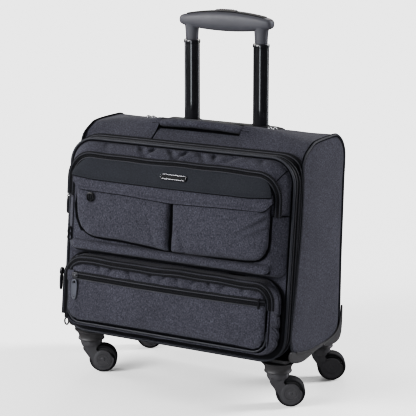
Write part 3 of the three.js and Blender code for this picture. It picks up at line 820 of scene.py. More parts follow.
def make_top():
    def panel(x0, x1, columns, rows=64):
        x, u = np.meshgrid(np.linspace(x0, x1, columns), np.linspace(0, 1, rows), indexing="ij")
        return top_point(x, u)

    def outside_bezel(grid):
        mid = (grid[:-1, :-1] + grid[1:, 1:]) / 2
        left, right, front, rear = BEZEL
        return ~((mid[..., 0] > left) & (mid[..., 0] < right) & (mid[..., 1] > front) & (mid[..., 1] < rear))

    for name, sign in SIDES:
        grid = panel(sign * 80, sign * (SIDE - 0.5), 42)
        grid[..., 2] += 0.8 * wrinkle(grid[..., 0], grid[..., 1], 48, 5 + sign)
        lifted = bump_at(grid[..., 0], grid[..., 1], sign * 80, 11, 24, 11)
        grid[..., 2] += 8.0 * lifted
        flap = sheet(f"top_flap_{name}", grid, 2.2, (0, -0.4, 1), keep=outside_bezel(grid))
        dress(flap, "melange", "shell")
        edge_line = grid[2][2:44] + (0, 0, 0.15)
        front_line = grid[:, 1] + (0, 0, 0.3)
        stitches(f"top_flap_stitching_{name}",
                 [(edge_line, (0, -0.4, 1), False), (front_line, (0, -0.5, 1), False)], "shell")
        lip = sweep(f"top_flap_edge_{name}", grid[0][:46],
                    [(-0.9, -2.6), (0.7, -2.6), (1.1, -1.2), (0.6, 0.35), (-0.9, 0.3)], (0, -0.4, 1))
        dress(lip, "melange", "shell")
        # near-black binding under the flap's inner edge beside the handle: painted shadow below that edge
        under = grid[0][:46] + (-sign * 0.9, 0, -1.6)
        strand(f"top_flap_shadow_binding_{name}", under, 0.9, (0, -0.4, 1), "shade", "shell")

    grid = panel(-82, 82, 44, 80)
    y = grid[..., 1]
    sink = 1.8 + 22 * np.clip((y - 4.5) / 4, 0, 1) * np.clip((36 - y) / 12, 0, 1)
    grid[..., 2] -= np.where(y < 38, sink, 1.8)
    grid[..., 2] += 0.9 * wrinkle(grid[..., 0], y, 34, 9.4) * (y < -4)
    middle = sheet("top_middle", grid, 2.2, (0, -0.4, 1), keep=outside_bezel(grid))
    dress(middle, "melange", "shell", ("top_panel",))
    stitches("top_middle_stitching_front", [(grid[:, 1] + (0, 0, 0.3), (0, -0.5, 1), False)], "shell")
    ridge = top_point(np.linspace(-SIDE, SIDE, 80)[:, None], np.ones((80, 1)))[:, 0]
    strand("rear_piping", ridge, 1.8, (0, 1, 0.4), "cord", "shell")


def make_back():
    rear = smooth_curve(SIDE_BACK, 60)
    x = np.linspace(-SIDE + 0.6, SIDE - 0.6, 70)
    grid = np.empty((len(x), len(rear), 3))
    for i, a in enumerate(x):
        swell = 2.0 * (1 - (a / SIDE) ** 4)
        grid[i, :, 0] = a
        grid[i, :, 1] = rear[:, 0] + swell * np.sin(np.linspace(0.05, math.pi - 0.05, len(rear))) - 0.5
        grid[i, :, 2] = rear[:, 1]
    grid[..., 1] += 0.7 * wrinkle(grid[..., 0], grid[..., 2], 70, 21)
    grid[..., 1] -= 1.6 * bell(np.abs(grid[..., 0]) - 112, 2.2) * (grid[..., 2] > 100)
    panel = sheet("back", grid, 3.0, (0, 1, 0))
    dress(panel, "melange", "shell", ("back_panel",))
    lines = []
    for a in (-109, 109, -115, 115):
        i = int(np.argmin(np.abs(x - a)))
        lines.append((grid[i, 3:-4] + (0, 0.3, 0), (0, 1, 0), False))
    stitches("back_stitching", lines, "shell")


def make_front_tape():
    """The dark tape that joins the body's cloth to the zip round the lid."""
    loop = lid_loop(0)
    front = lid(at_level(loop, -17.7))
    table = np.array(SIDE_FRONT, float)
    rear = front.copy()
    straight = SIDE - LID_CORNER
    high = loop[:, 1] > LID_HIGH - LID_CORNER
    for i, (x, w) in enumerate(loop):
        z = front[i, 2]
        if high[i]:
            turn = math.degrees(math.atan2(w - (LID_HIGH - LID_CORNER), max(abs(x) - straight, 0) + 1e-6))
            if turn < 30:
                z = 371 + 26 * turn / 30
                rear[i] = (math.copysign(SIDE, x), np.interp(z, table[:, 1], table[:, 0]), z)
            else:
                turn = math.radians((turn - 30) * 1.5)
                side = 172 + 40 * math.cos(turn) if abs(x) > straight else abs(x)
                rear[i] = (math.copysign(side, x), -33 + 9.6 * math.sin(turn), 396.5 + 19 * math.sin(turn))
        elif abs(x) > SIDE - 1:
            rear[i, 1] = np.interp(z, table[:, 1], table[:, 0])
        else:
            rear[i, 1] = front[i, 1] + 3
    across, up = loop.T
    flat = np.zeros(len(loop))
    outward = np.column_stack([np.clip(across / 60, -1, 1), flat, np.clip((up - 170) / 60, -1, 1)])
    outward /= np.maximum(np.linalg.norm(outward, axis=1, keepdims=True), 1e-6)
    corner_x = np.clip((np.abs(across) - straight) / LID_CORNER, 0, 1) * np.sign(across)
    corner_z = np.clip((up - LID_HIGH + LID_CORNER) / LID_CORNER, 0, 1)
    corner_z -= np.clip((LID_LOW + LID_CORNER - up) / LID_CORNER, 0, 1)
    way = np.column_stack([corner_x, flat, corner_z])
    size = np.linalg.norm(way, axis=1, keepdims=True)
    way = np.where(size > 0.05, way / np.maximum(size, 1e-6), outward)
    section = ((0, 0), (0.04, 0.9), (0.12, 1.2), (0.2, 0.5), (0.42, 0.3), (0.5, 1.0), (0.58, 0.3),
               (0.82, 0.3), (0.9, 1.3), (1.0, 0.2))
    grid = np.stack([front * (1 - t) + rear * t + way * (bead + 0.2) for t, bead in section], axis=1)
    tape = shell("body_zip_tape", grid, grid - way[:, None] * 1.6, wrap=True)
    dress(tape, "tape", "shell")
    strand("body_zip_ridge", grid[:, 5], 0.9, (0, -1, 0), "cord", "shell", closed=True)


def make_inside():
    inner = rounded(205, 84, 398, 20, 16, 30, 14, 5)
    spine = spine_of(inner, -60, 60, 240)

    def place(p):
        return p[..., [0, 2, 1]]

    back = pillow("inner_back", inner, spine, lambda x, z, d: 79.6 - 1.2 * edge(d, 20), level_at(83.0),
                  place, 10)
    dress(back, "lining", "shell", ("back_lining",))
    pocket = rounded(200, 84, 345, 16, 5, 40, 18, 6)
    spine = spine_of(pocket, -70, 70, 214)

    def face(x, z, d):
        quilt = np.abs(np.sin(x / 36 * math.pi / 2)) * edge(d, 14)
        return 44.8 - 1.6 * edge(d, 9) - 1.2 * quilt

    divider = pillow("divider", pocket, spine, face, lambda x, z, d: 48.0 + 0.8 * edge(d, 9), place, 16)
    dress(divider, "lining", "shell", ("laptop_divider",))
    rim = np.column_stack([pocket[:, 0], np.full(len(pocket), 46.0), pocket[:, 1]])
    strand("divider_binding", rim, 2.4, (0, 1, 0), "tape", "shell", closed=True)
    strap = np.array([(0, 79, 350), (0, 70, 362), (0, 55, 358), (0, 43.0, 345), (0, 40.6, 322),
                      (0, 40.8, 300)], float)
    strap = smooth_curve(strap, 24)
    flat = [(-13, -0.7), (13, -0.7), (13, 0.7), (-13, 0.7)]
    dress(sweep("divider_strap", strap, flat, (0, -0.5, 1)), "tape", "shell")


make_sides()
make_top()
make_back()
make_front_tape()
make_inside()


# ------------------------------------------------------------------ lid
def zip_tapes(name, path, normal, outer_body, inner_body, width=6.4, closed=False, web=0.0):
    """Two dark tapes meeting at a closed zip, each with a seam and a paler ridge whose tone partly paints its
    highlight.

    With a web, the inner one reaches on under the panel that it is sewn to."""
    _, up, side = frames(path, normal, closed)
    half = [(0.2, 0.1), (0.45, 0.9), (1.3, 1.0), (1.7, 0.4), (width - 0.9, 0.5), (width, 0.0),
            (width, -0.6), (0.2, -0.6)]
    for tag, sign, body in (("outer", -1, outer_body), ("inner", 1, inner_body)):
        outline = half
        if web and tag == "inner":
            outline = half[:6] + [(width + web, -2.6), (width + web, -3.4), *half[6:]]
        profile = [(sign * a, b) for a, b in outline]
        dress(sweep(f"{name}_{tag}", path, profile, normal, closed), "tape", body)
        ridge = path + side * sign * width * 0.52 + up * 0.75
        strand(f"{name}_{tag}_ridge", ridge, 0.85, normal, "cord", body, closed=closed)
        seam = path + side * sign * (width - 1.3) + up * 0.6
        stitches(f"{name}_{tag}_stitching", [(seam, up, closed)], body)


def make_lid():
    loop = rounded(SIDE - 0.6, 4, 332, 42, 42)
    spine = spine_of(loop, -60, 60, 168)

    def front(x, w, d):
        return 2.6 + 1.4 * edge(d, 8) + 0.5 * wrinkle(x, w, 50, 31) * edge(d, 10)

    cover = pillow("lid_cover", loop, spine, front, level_at(0.2), lid, 16)
    dress(cover, "melange", "lid", ("lid_panel",))
    rim = rounded(SIDE + 0.8, 2.6, 333.2, 43, 43)
    strand("lid_piping", lid(at_level(rim, 2.2)), 2.1, OUT, "cord", "lid", closed=True, sides=10)

    section = ((1.0, 0.0), (-1.5, 0.3), (-4.0, 0.2), (-4.8, 1.0), (-6.2, 1.0), (-7.0, 0.2),
               (-12.4, 0.2), (-13.0, 1.3), (-15.2, 1.5), (-16.8, 1.0), (-17.2, 0.0))
    grid = np.stack([lid(at_level(lid_loop(bead), v)) for v, bead in section], 1)
    inner = np.stack([lid(at_level(lid_loop(-2.2), v)) for v, _ in section], 1)
    tape = shell("lid_zip_tape", grid, inner, wrap=True)
    dress(tape, "tape", "lid", ("zip_band",))
    # the two near-black bindings on either side of the lid's piping paint the shadow along its flanks
    for name, out, v, radius, material in (
        ("lid_zip_ridge_0", 1.0, -5.4, 0.9, "cord"), ("lid_zip_ridge_1", 1.4, -14.6, 1.1, "cord"),
        ("lid_shadow_binding_inner", -2.6, 3.2, 1.3, "shade"), ("lid_shadow_binding_outer", 0.9, -1.0, 1.3, "shade"),
    ):
        strand(name, lid(at_level(lid_loop(out), v)), radius, OUT, material, "lid", closed=True)
    loop = rounded(SIDE - 8, 12, 325, 36, 36, 30, 14, 5)
    lining = pillow("lid_lining", loop, spine_of(loop, -60, 60, 168), lambda x, w, d: -1.6 * edge(d, 12),
                    level_at(0.4), lid, 10)
    dress(lining, "lining", "lid")


def make_upper_gusset():
    dense = dict(across=220, up=60, corner=16)
    outer = rounded(208.5, 141, 329.5, 41, 16, **dense)
    middle = rounded(204, 144, 321, 41, 15, **dense)
    inner = rounded(199, 147, 311.5, 39, 14, **dense)
    inner[:, 0] = np.where(inner[:, 1] < 241, np.clip(inner[:, 0], -190.5, 189.5), inner[:, 0])
    rows = []
    for t in np.linspace(0, 1, GUSSET_STEPS):
        a = outer * (1 - t) ** 2 + middle * 2 * t * (1 - t) + inner * t * t
        rows.append(at_level(a, 3.2 + 20.8 * t ** 0.9))
    grid = np.stack(rows, 1)
    x, w = grid[..., 0], grid[..., 1]
    t = np.linspace(0, 1, GUSSET_STEPS)[None]
    top = np.clip((w - 300) / 8, 0, 1)
    pucker = np.zeros_like(x)
    for place, reach, lean, deep, run in ((-143, 5, 14, 1.8, 2.2), (-76, 4, 22, 3.4, 1.2),
                                          (-47, 3, -10, 4.6, 2.0), (-20, 4, 26, 3.6, 1.1),
                                          (16, 3, -16, 4.8, 1.8), (37, 5, 24, 2.6, 1.0),
                                          (66, 3, 10, 4.2, 2.4), (108, 6, -24, 2.4, 1.4),
                                          (152, 4, 16, 2.2, 2.0)):
        pucker -= (1.3 * deep * bell(x - place - lean * t, reach + 5 * t)
                   * np.clip(1 - t * run * 0.5, 0, 1) * np.clip(t * 7, 0, 1))
        pucker += deep * 0.4 * bell(x - place - 13 - lean * t, 9) * np.sin(math.pi * t)
    soft = 1.6 * wrinkle(x, w + t * 40, 30, 41) * np.sin(math.pi * np.clip(t * 1.02, 0, 1))
    grid[..., 2] += (pucker + 1.5 * np.sin(math.pi * t)) * top + soft
    grid[..., 1] += 0.8 * pucker * top
    placed = lid(grid)
    gusset = sheet("upper_gusset", placed, 1.6, OUT, wrap=True)
    dress(gusset, "melange", "lid", ("upper_pocket_gusset",))
    corner = int(np.argmin(np.linalg.norm(outer - (199, 317), axis=1)))
    strand("gusset_corner_seam", placed[corner] + OUT * 0.3, 0.7, OUT, "shade", "lid", sides=6)
    stitches("upper_gusset_stitching", [(placed[:, 1] + OUT * 0.4, OUT, True)], "lid")


def u_path(half, low_left, low_right, high, radius, v, count=150):
    """Up the left side, across the top and down the right side."""
    turn = np.radians(np.linspace(180, 90, 14))
    left = [(-half + radius + radius * math.cos(a), high - radius + radius * math.sin(a)) for a in turn]
    right = [(-x, w) for x, w in left[::-1]]
    line = np.array([(-half, low_left), *left, *right, (half, low_right)], float)
    line = spaced(line, count)
    return lid(at_level(line, v)), line


def nylon_level(w):
    """How far the nylon band stands out of the lid at each height."""
    return np.interp(w, [262, 268, 271, 276, 285, 294, 300, 304],
                     [39.0, 39.6, 39.6, 38.2, 34.4, 30.2, 27.4, 25.6])


def make_upper_front():
    body = "upper_front"
    loop = rounded(190, 147.5, 305, 37, 13, 120, 40, 9)
    spine = spine_of(loop, -112, 112, 226)

    def front(x, w, d):
        roll = 7.0 * np.sqrt(np.clip(1 - ((w - 154.0) / 9.0) ** 2, 0, 1)) * edge(189 - np.abs(x), 12)
        level = 24.4 + 1.8 * edge(d, 10) + roll + 0.5 * wrinkle(x, w, 34, 51) * edge(d, 12)
        return np.where(w > 262, np.minimum(level, nylon_level(np.minimum(w, 304)) - 2.0), level)

    panel = pillow("upper_pocket_cloth", loop, spine, front, level_at(22.6), lid, 44)
    dress(panel, "melange", body, ("upper_pocket_front",))

    rows = np.concatenate([np.linspace(304, 276, 14), [273.5, 271.6, 270.6]])
    grid = np.empty((60, len(rows), 3))
    for j, w in enumerate(rows):
        half = 189 - (37 - math.sqrt(max(37**2 - max(w - 268, 0) ** 2, 0)))
        x = np.linspace(-half, half, 60)
        level = nylon_level(w) - 3.0 * (1 - edge(half - np.abs(x), 16)) * min(1, max(0, (304 - w) / 14))
        sway = 1.6 * np.sin((x + 190) / 380 * math.pi) * np.clip((290 - w) / 20, 0, 1)
        grid[:, j] = np.column_stack([x, w - sway + 3.4 * np.clip((np.abs(x) - 150) / 40, 0, 1) * (w < 280),
                                      level])
    x, w = grid[..., 0], grid[..., 1]
    grid[..., 2] += 0.7 * wrinkle(x, w * 2, 60, 61) + 0.25 * wrinkle(x, w, 14, 62)
    for place, reach in ((-40, 26), (70, 34), (-120, 30)):
        grid[..., 2] -= 1.0 * bump_at(x, w, place, 288, reach, 9)
    nylon = sheet("nylon_band", lid(grid), 1.5, OUT)
    dress(nylon, "nylon", body)
    hem = lid(grid[:, -1] + (0, 0, -0.5))
    strand("nylon_hem", hem, 0.9, OUT, "nylon", body)
    # near-black binding under the nylon's hem: painted shadow below the overlapping edge
    strand("nylon_shadow_binding", lid(grid[:, -1] + (0, -1.1, -1.7)), 1.2, OUT, "shade", body)
    stitches("nylon_stitching", [(lid(grid[:, -3] + (0, 0, 0.35)), OUT, False)], body)

    path, flat = u_path(197, 238, 241, 306.5, 40, 25.4)
    path = path + np.outer(0.7 * np.sin(flat[:, 0] / 37) + 0.5 * np.sin(flat[:, 0] / 15 + 1), UP)
    zip_tapes("upper_zip", path, OUT, "lid", body, 7.0, web=7.0)


def pocket_outlines():
    """The two patch pockets, across and up the lid: straight at their inner side and top."""
    top = 262
    left = corners(
        ([(4.2, top), (4.2, 200), (4.2, 162.5)], 26),
        ([(4.2, 162.5), (-40, 165.5), (-90, 168.5), (-130, 169), (-152, 172), (-168, 182), (-177, 200),
          (-181, 226), (-184, top)], 66),
        ([(-184, top), (-90, top), (4.2, top)], 44),
    )
    right = corners(
        ([(7.0, 162.0), (7.0, 200), (7.0, top)], 26),
        ([(7.0, top), (90, top), (186, top)], 44),
        ([(186, top), (188, 240), (187.5, 205), (184, 184), (174, 171), (152, 165.5), (110, 163.5),
          (60, 161.5), (7.0, 162.0)], 66),
    )
    return left, right


def make_patch_pockets():
    body = "upper_front"
    left, right = pocket_outlines()
    under_flap = 246    # seams are shown up to here, where the flap hides them

    def face(near, far, cap):
        """The height of a pocket: two rises from its edge, of (height, reach), up to a cap."""
        return lambda x, w, d: np.minimum(26.2 + near[0] * edge(d, near[1]) + far[0] * edge(d, far[1]), cap)

    def left_folds(x, w):
        fold = -3.6 * np.exp(-np.abs(x - 4) / 5) * np.clip((256 - w) / 30, 0.25, 1)
        fold += (1.4 * bump_at(x, w, -15, 186, 9, 22)
                 - 1.9 * bump_at(x, w, -27 + (190 - w) * 0.35, 180, 4.0, 20))
        fold -= (1.5 * bump_at(x, w, -158 + (w - 190) * 0.5, 188, 5, 14)
                 + 0.8 * bump_at(x, w, -120, 180, 26, 5))
        return fold + 0.7 * wrinkle(x, w, 46, 71)

    def right_folds(x, w):
        fold = 0.7 * wrinkle(x, w, 44, 81) - 2.2 * np.exp(-np.abs(x - 7) / 4) * np.clip((256 - w) / 40, 0, 1)
        for cx, cw, slope, reach, deep in ((172, 231, 0.62, 4.5, 4.0), (168, 213, 0.50, 4.2, 3.4),
                                           (176, 247, 0.42, 3.6, 2.4)):
            across = (w - cw) - slope * (x - cx)
            start = np.clip((x - 118) / 55, 0, 1)
            fold -= deep * bell(across, reach) * start
            fold += deep * 0.45 * bell(across - 9, 5) * start
        fold -= 2.0 * bump_at(x, w, 33 + (176 - w) * 0.3, 174, 4.0, 18) - 1.2 * bump_at(x, w, 22, 180, 8, 20)
        return fold

    # a near-black strip beside the left pocket: painted shadow in the gap between the pocket and the zip
    w = np.linspace(237, 178, 30)
    edge_x = np.interp(w, [178, 182, 200, 226, 237], [-165, -168, -177, -181, -182])
    wide = np.clip((237 - w) / 16, 0.25, 1)
    gap = np.stack([np.column_stack([edge_x - 1.0 - 5.5 * wide * k, w, np.full(30, 27.0 + 0.5 * k)])
                    for k in np.linspace(0, 1, 4)], 1)
    dress(sheet("patch_pocket_side_shadow", lid(gap), 1.0, OUT), "shade", body)
    for name, loop, span, front, folds in (
        ("left", left, (-140, -36), face((6.6, 9), (2.8, 42), 36.2), left_folds),
        ("right", right, (46, 146), face((6.8, 8), (2.8, 40), 36.4), right_folds),
    ):
        spine = spine_of(loop, *span, 214)
        pocket = pillow(f"patch_pocket_{name}", loop, spine, front, level_at(25.6), lid, 22)
        puff(pocket, 1.6, 2.4, 3.5)
        push(pocket, folds, 29)
        dress(pocket, "melange", body, ("patch_pockets",) if name == "left" else (), ready=True)
        tree = surface_tree(pocket)
        inset, _ = fill(loop, spine, 60, 1.0)
        path = laid_on(tree, lid(at_level(below(inset[:, 4], under_flap), 34)), OUT, 0.15)
        stitches(f"patch_pocket_stitching_{name}", [(path, OUT, False)], body)
        # a near-black cord round each pocket's lower outline: painted shadow under its rolled edge
        strand(f"patch_pocket_edge_shadow_{name}", lid(at_level(below(inset[:, 0], under_flap), 27.6)), 1.3, OUT,
               "shade", body)


def make_flap():
    root = 276
    top = [(x, root) for x in (-187, -120, 0, 120, 190)]
    low = [(-186, 263), (-176, 254.5), (-166, 251), (-120, 250), (-80, 249.4), (-30, 246.6), (4, 245.3),
           (45, 246.5), (90, 248), (129, 249), (165, 249.6), (176, 250), (184, 256), (191, 264)]
    columns, rows = 80, 14
    upper, lower = smooth_curve(top, columns), smooth_curve(low, columns)
    grid = np.empty((columns, rows, 3))
    for j, t in enumerate(np.linspace(0, 1, rows)):
        line = upper * (1 - t) + lower * t
        level = np.interp(line[:, 1], [244, 250, 262, root], [39.5, 39.6, 39.0, 35.6])
        ends = 1 - edge(192 - np.abs(line[:, 0]), 26)
        grid[:, j] = np.column_stack([line, level - 5.5 * ends])
    x, w = grid[..., 0], grid[..., 1]
    free = np.clip((root - w) / 20, 0, 1)
    grid[..., 2] += (0.9 * wrinkle(x, w, 55, 91) + 0.4 * wrinkle(x, w, 18, 92)) * free
    cloth = sheet("flap_cloth", lid(grid), 1.9, OUT)
    held, free = (lid(np.array([0.0, w, 38.0])) * MM for w in (269.5, 262.5))
    dress(cloth, "melange", ("upper_front", "flap", held, free), ("pocket_flap",))
    stitches("flap_stitching", [(lid(grid[:, -3] + (0, 0, 0.3)), OUT, False)], "flap")
    hem = lid(grid[:, -1] + (0, 0, -0.95))
    strand("flap_hem", hem, 1.0, OUT, "melange", "flap")
    # near-black binding under the flap's hem: painted shadow below its lower edge
    strand("flap_shadow_binding", lid(grid[:, -1] + (0, -1.0, -2.2)), 1.1, OUT, "shade", "flap")


def make_badge():
    """A blank name plate: a bright raised rim round a dark satin face."""
    body = "upper_front"
    centre_x, centre_w = 8.5, 286.5
    centre_v = float(nylon_level(centre_w)) + 0.7
    c, s = math.cos(0.42), math.sin(0.42)

    def place(p):
        a, b, h = p[..., 0], p[..., 1], p[..., 2]
        return lid(np.stack([centre_x + a, centre_w + b * c + h * s, centre_v - b * s + h * c], -1))

    plate = rounded(24.6, -4.6, 4.6, 3.2, 3.2, 10, 4, 5)
    build("badge_plate", [prism_parts(plate, place, -0.8, 1.3)], "plate", body, ("blank_badge",),
          slot="pull_metal", bevel=0.3)
    rim = rounded(23.6, -3.8, 3.8, 2.6, 2.6, 10, 4, 5)
    path = place(np.column_stack([rim, np.full(len(rim), 1.35)]))
    strand("badge_rim", path, 0.42, OUT, "chrome", body, closed=True)


make_lid()
make_upper_gusset()
make_upper_front()
make_patch_pockets()
make_flap()
make_badge()


def make_lower_pocket():
    dense = dict(across=150, up=40, corner=14)
    outer = rounded(202, 15.5, 136.5, 33, 31, **dense)
    inner = rounded(197, 18, 133.6, 32, 28, **dense) + (LOWER_SHIFT, 0)
    rows = [at_level(outer * (1 - t ** 1.3) + inner * t ** 1.3, 3.6 + 29.4 * t)
            for t in np.linspace(0, 1, GUSSET_STEPS)]
    grid = np.stack(rows, 1)
    t = np.linspace(0, 1, GUSSET_STEPS)[None]
    x, w = grid[..., 0], grid[..., 1]
    swell = np.sin(math.pi * t) * (1.8 + 1.5 * wrinkle(x, w + 30 * t, 32, 101))
    grid[..., 0] += np.sign(x) * swell * (np.abs(x) > 186)
    grid[..., 1] += swell * np.where(w > 100, 0.6, -0.8)
    for cw, deep in ((62, 2.8), (44, 2.4), (84, 1.6)):
        grid[..., 0] -= (np.sign(x) * deep * bell(w - cw - 14 * (t - 0.5), 4.5)
                         * np.sin(math.pi * t) * (np.abs(x) > 190))
    placed = lid(grid)
    dress(sheet("lower_gusset", placed, 1.6, OUT, wrap=True), "melange", "lid", ("lower_pocket_gusset",))
    stitches("lower_gusset_stitching", [(placed[:, 1] + OUT * 0.3, OUT, True)], "lid")
    band = [rounded(*size, **dense) for size in ((210.8, 6.5, 139.5, 40, 33), (199, 18, 134, 32, 28))]
    dress(sheet("lower_band", np.stack([lid(at_level(loop, 5.0)) for loop in band], 1), 0.9, OUT,
                wrap=True), "tape", "lid")
    foot = rounded(203.6, 14.6, 137.2, 34, 32)
    strand("lower_gusset_piping", lid(at_level(foot, 5.6)), 1.5, OUT, "shade", "lid", closed=True)

    loop = rounded(191.5, 20.5, 127.5, 28, 25, 60, 16, 8) + (LOWER_SHIFT, 0)
    spine = spine_of(loop, -140, 144, 74)

    def front(x, w, d):
        level = np.interp(w, [18, 30, 50, 72, 95, 110, 128], [31.5, 35.6, 38.6, 39.6, 38.4, 37.2, 35.6])
        level = 32.4 + (level - 32.4) * edge(d, 18) + 0.5 * edge(d, 8)
        for cx, cw, rx, ry, rise in ((-90, 84, 70, 12, 0.7), (60, 88, 80, 10, 0.6), (30, 44, 90, 12, 0.8),
                                     (-120, 48, 50, 14, 0.9)):
            level += rise * bump_at(x, w, cx, cw, rx, ry)
        return level

    def folds(x, w):
        fold = 0.8 * wrinkle(x, w * 1.3, 48, 111)
        band = bell(w - 116.5, 8.5)
        for place, reach, lean, deep in ((-166, 3.5, -8, 2.0), (-128, 4, 10, 2.8), (-102, 3, -6, 3.6),
                                         (-71, 3.5, 12, 3.8), (-58, 3, -4, 1.8), (-28, 4, 8, 3.8),
                                         (2, 3, -10, 2.6), (24, 4, 6, 3.6), (58, 3.5, -8, 3.0),
                                         (84, 3, 12, 3.4), (113, 4, -6, 2.8), (146, 3.5, 8, 2.6),
                                         (172, 3, -6, 2.0)):
            across = x - place - lean * (122 - w) / 14
            fold -= (1.4 * deep * bell(across, reach + np.clip(122 - w, 0, 20) * 0.25)
                     * np.exp(-np.clip(121 - w, 0, 60) / 9) * (w > 104))
            fold += deep * 0.35 * bell(across - 12, 7) * band
        fold -= 1.6 * bell(w - SLIT, 9)
        for cx, cw, slope, deep in ((150, 38, 0.7, 2.2), (160, 60, 0.5, 1.6), (-150, 40, -0.6, 1.6)):
            side = (w - cw) - slope * (x - cx)
            fold -= deep * bell(side, 5) * np.clip((np.abs(x) - 110) / 50, 0, 1)
        return fold

    cloth = pillow("lower_pocket_cloth", loop, spine, front, level_at(31.6), lid, 26)
    puff(cloth, 2.4, 2.4, 4.0)
    push(cloth, folds, 32.5)
    dress(cloth, "melange", "lower_front", ("lower_pocket_front",), ready=True)
    tree = surface_tree(cloth)

    path, flat = u_path(194.6, 34, 92, 129.6, 30, 33.4, 150)
    sway = 0.9 * np.sin(flat[:, 0] / 31) + 0.6 * np.sin(flat[:, 0] / 13)
    path = path + (LOWER_SHIFT, 0, 0) + np.outer(sway, UP)
    tilt = OUT + 0.45 * UP
    zip_tapes("lower_zip", path, tilt, "lid", "lower_front", 7.6)

    sag = 1.8 * np.sin(np.linspace(0, math.pi, 90))
    line = np.column_stack([np.linspace(-172, 189.5, 90), np.full(90, SLIT) - sag, np.full(90, 40.0)])
    path = laid_on(tree, lid(line), OUT, 0.35)
    zip_tapes("front_zip", path, OUT, "lower_front", "lower_front", 8.4)
    for tag, x, half in (("start", -181, 6.5), ("end", 179.2, 1.6)):
        garage = rounded(half, -8.8, 8.8, 1.5, 1.5, 4, 4, 3)
        spot = laid_on(tree, lid([[x + step, SLIT, 40] for step in range(3)]), OUT, 0.5)[1]
        part = prism_parts(garage, axes(spot, X_AXIS, UP, OUT), -0.6, 1.9)
        build(f"front_zip_{tag}", [part], "melange" if tag == "start" else "tape", "lower_front",
              slot="melange_fabric", bevel=0.4)

    low = below(rounded(190.5, 22.0, 127, 28, 25, 60, 16, 8) + (LOWER_SHIFT, 0), 60)
    strand("lower_binding", lid(at_level(low, 33.0)), 1.7, OUT, "cord", "lower_front")
    inset = low + (0, 5.5)
    inset[:, 0] *= 0.975
    stitches("lower_binding_stitching", [(laid_on(tree, lid(at_level(inset, 36)), OUT, 0.1), OUT, False)],
             "lower_front")


def make_stops():
    """Cloth stops where the two U zips end, and the small loops at their left ends."""
    def cover(name, near, far, w0, w1, bulge=2.4):
        """A panel of cloth over the slope beside a pocket, from its front edge back to the lid."""
        t, w = np.meshgrid(np.linspace(0, 1, 12), np.linspace(w0, w1, 30), indexing="ij")
        taper = np.clip((w - w1) / 30, 0, 1)
        x = near[0] + (far[0] - near[0]) * t * (0.55 + 0.45 * np.sqrt(taper))
        swell = bulge * np.sin(math.pi * np.clip(t * 0.9 + 0.1, 0, 1))
        v = near[1] + (far[1] - near[1]) * t + swell + 0.8 * wrinkle(x, w, 18, 131)
        panel = sheet(name, lid(np.stack([x, w, v], -1)), 1.6, OUT)
        dress(panel, "melange", "lid")
        top = lid(np.column_stack([x[:, 0], w[:, 0] + 0.6, v[:, 0] - 0.6]))
        strand(name + "_edge", top, 0.9, OUT, "shade", "lid")
        seam = lid(np.column_stack([x[:, 1], w[:, 1], v[:, 1] + 0.3]))
        stitches(name + "_stitching", [(seam, OUT, False)], "lid")

    cover("upper_zip_stop", (189.8, 26.0), (208.0, 6.0), 241.5, 158)
    cover("lower_zip_stop", (196.5, 34.2), (202.5, 8.0), 92.5, 34)
    cover("upper_zip_stop_left", (-190.0, 26.0), (-209.0, 6.0), 236, 160, 3.6)
    for k, w in enumerate((176, 166)):
        loop = [(-194 + 3.4 * math.cos(a), w + 6 * math.sin(a), 27.4 + 1.2 * math.sin(2 * a))
                for a in turns(20)]
        strand(f"upper_zip_loop_{k}", lid(loop), 1.3, OUT, "tape", "lid", closed=True, sides=6)


make_lower_pocket()
make_stops()


# ------------------------------------------------------------------ pulls
def ring_parts(centre, across, up, radius_a, radius_b, wire, sides=7, around=24):
    """An oval wire ring."""
    turn = turns(around)
    path = np.asarray(centre) + np.outer(np.cos(turn) * radius_a, across)
    path = path + np.outer(np.sin(turn) * radius_b, up)
    return sweep_mesh(path, circle(wire, sides), np.cross(across, up), True)


def box_middle(node):
    """The middle of a CAD node's box, in millimetres."""
    low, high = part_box(node)
    return (np.array(low) + np.array(high)) / 2 / MM


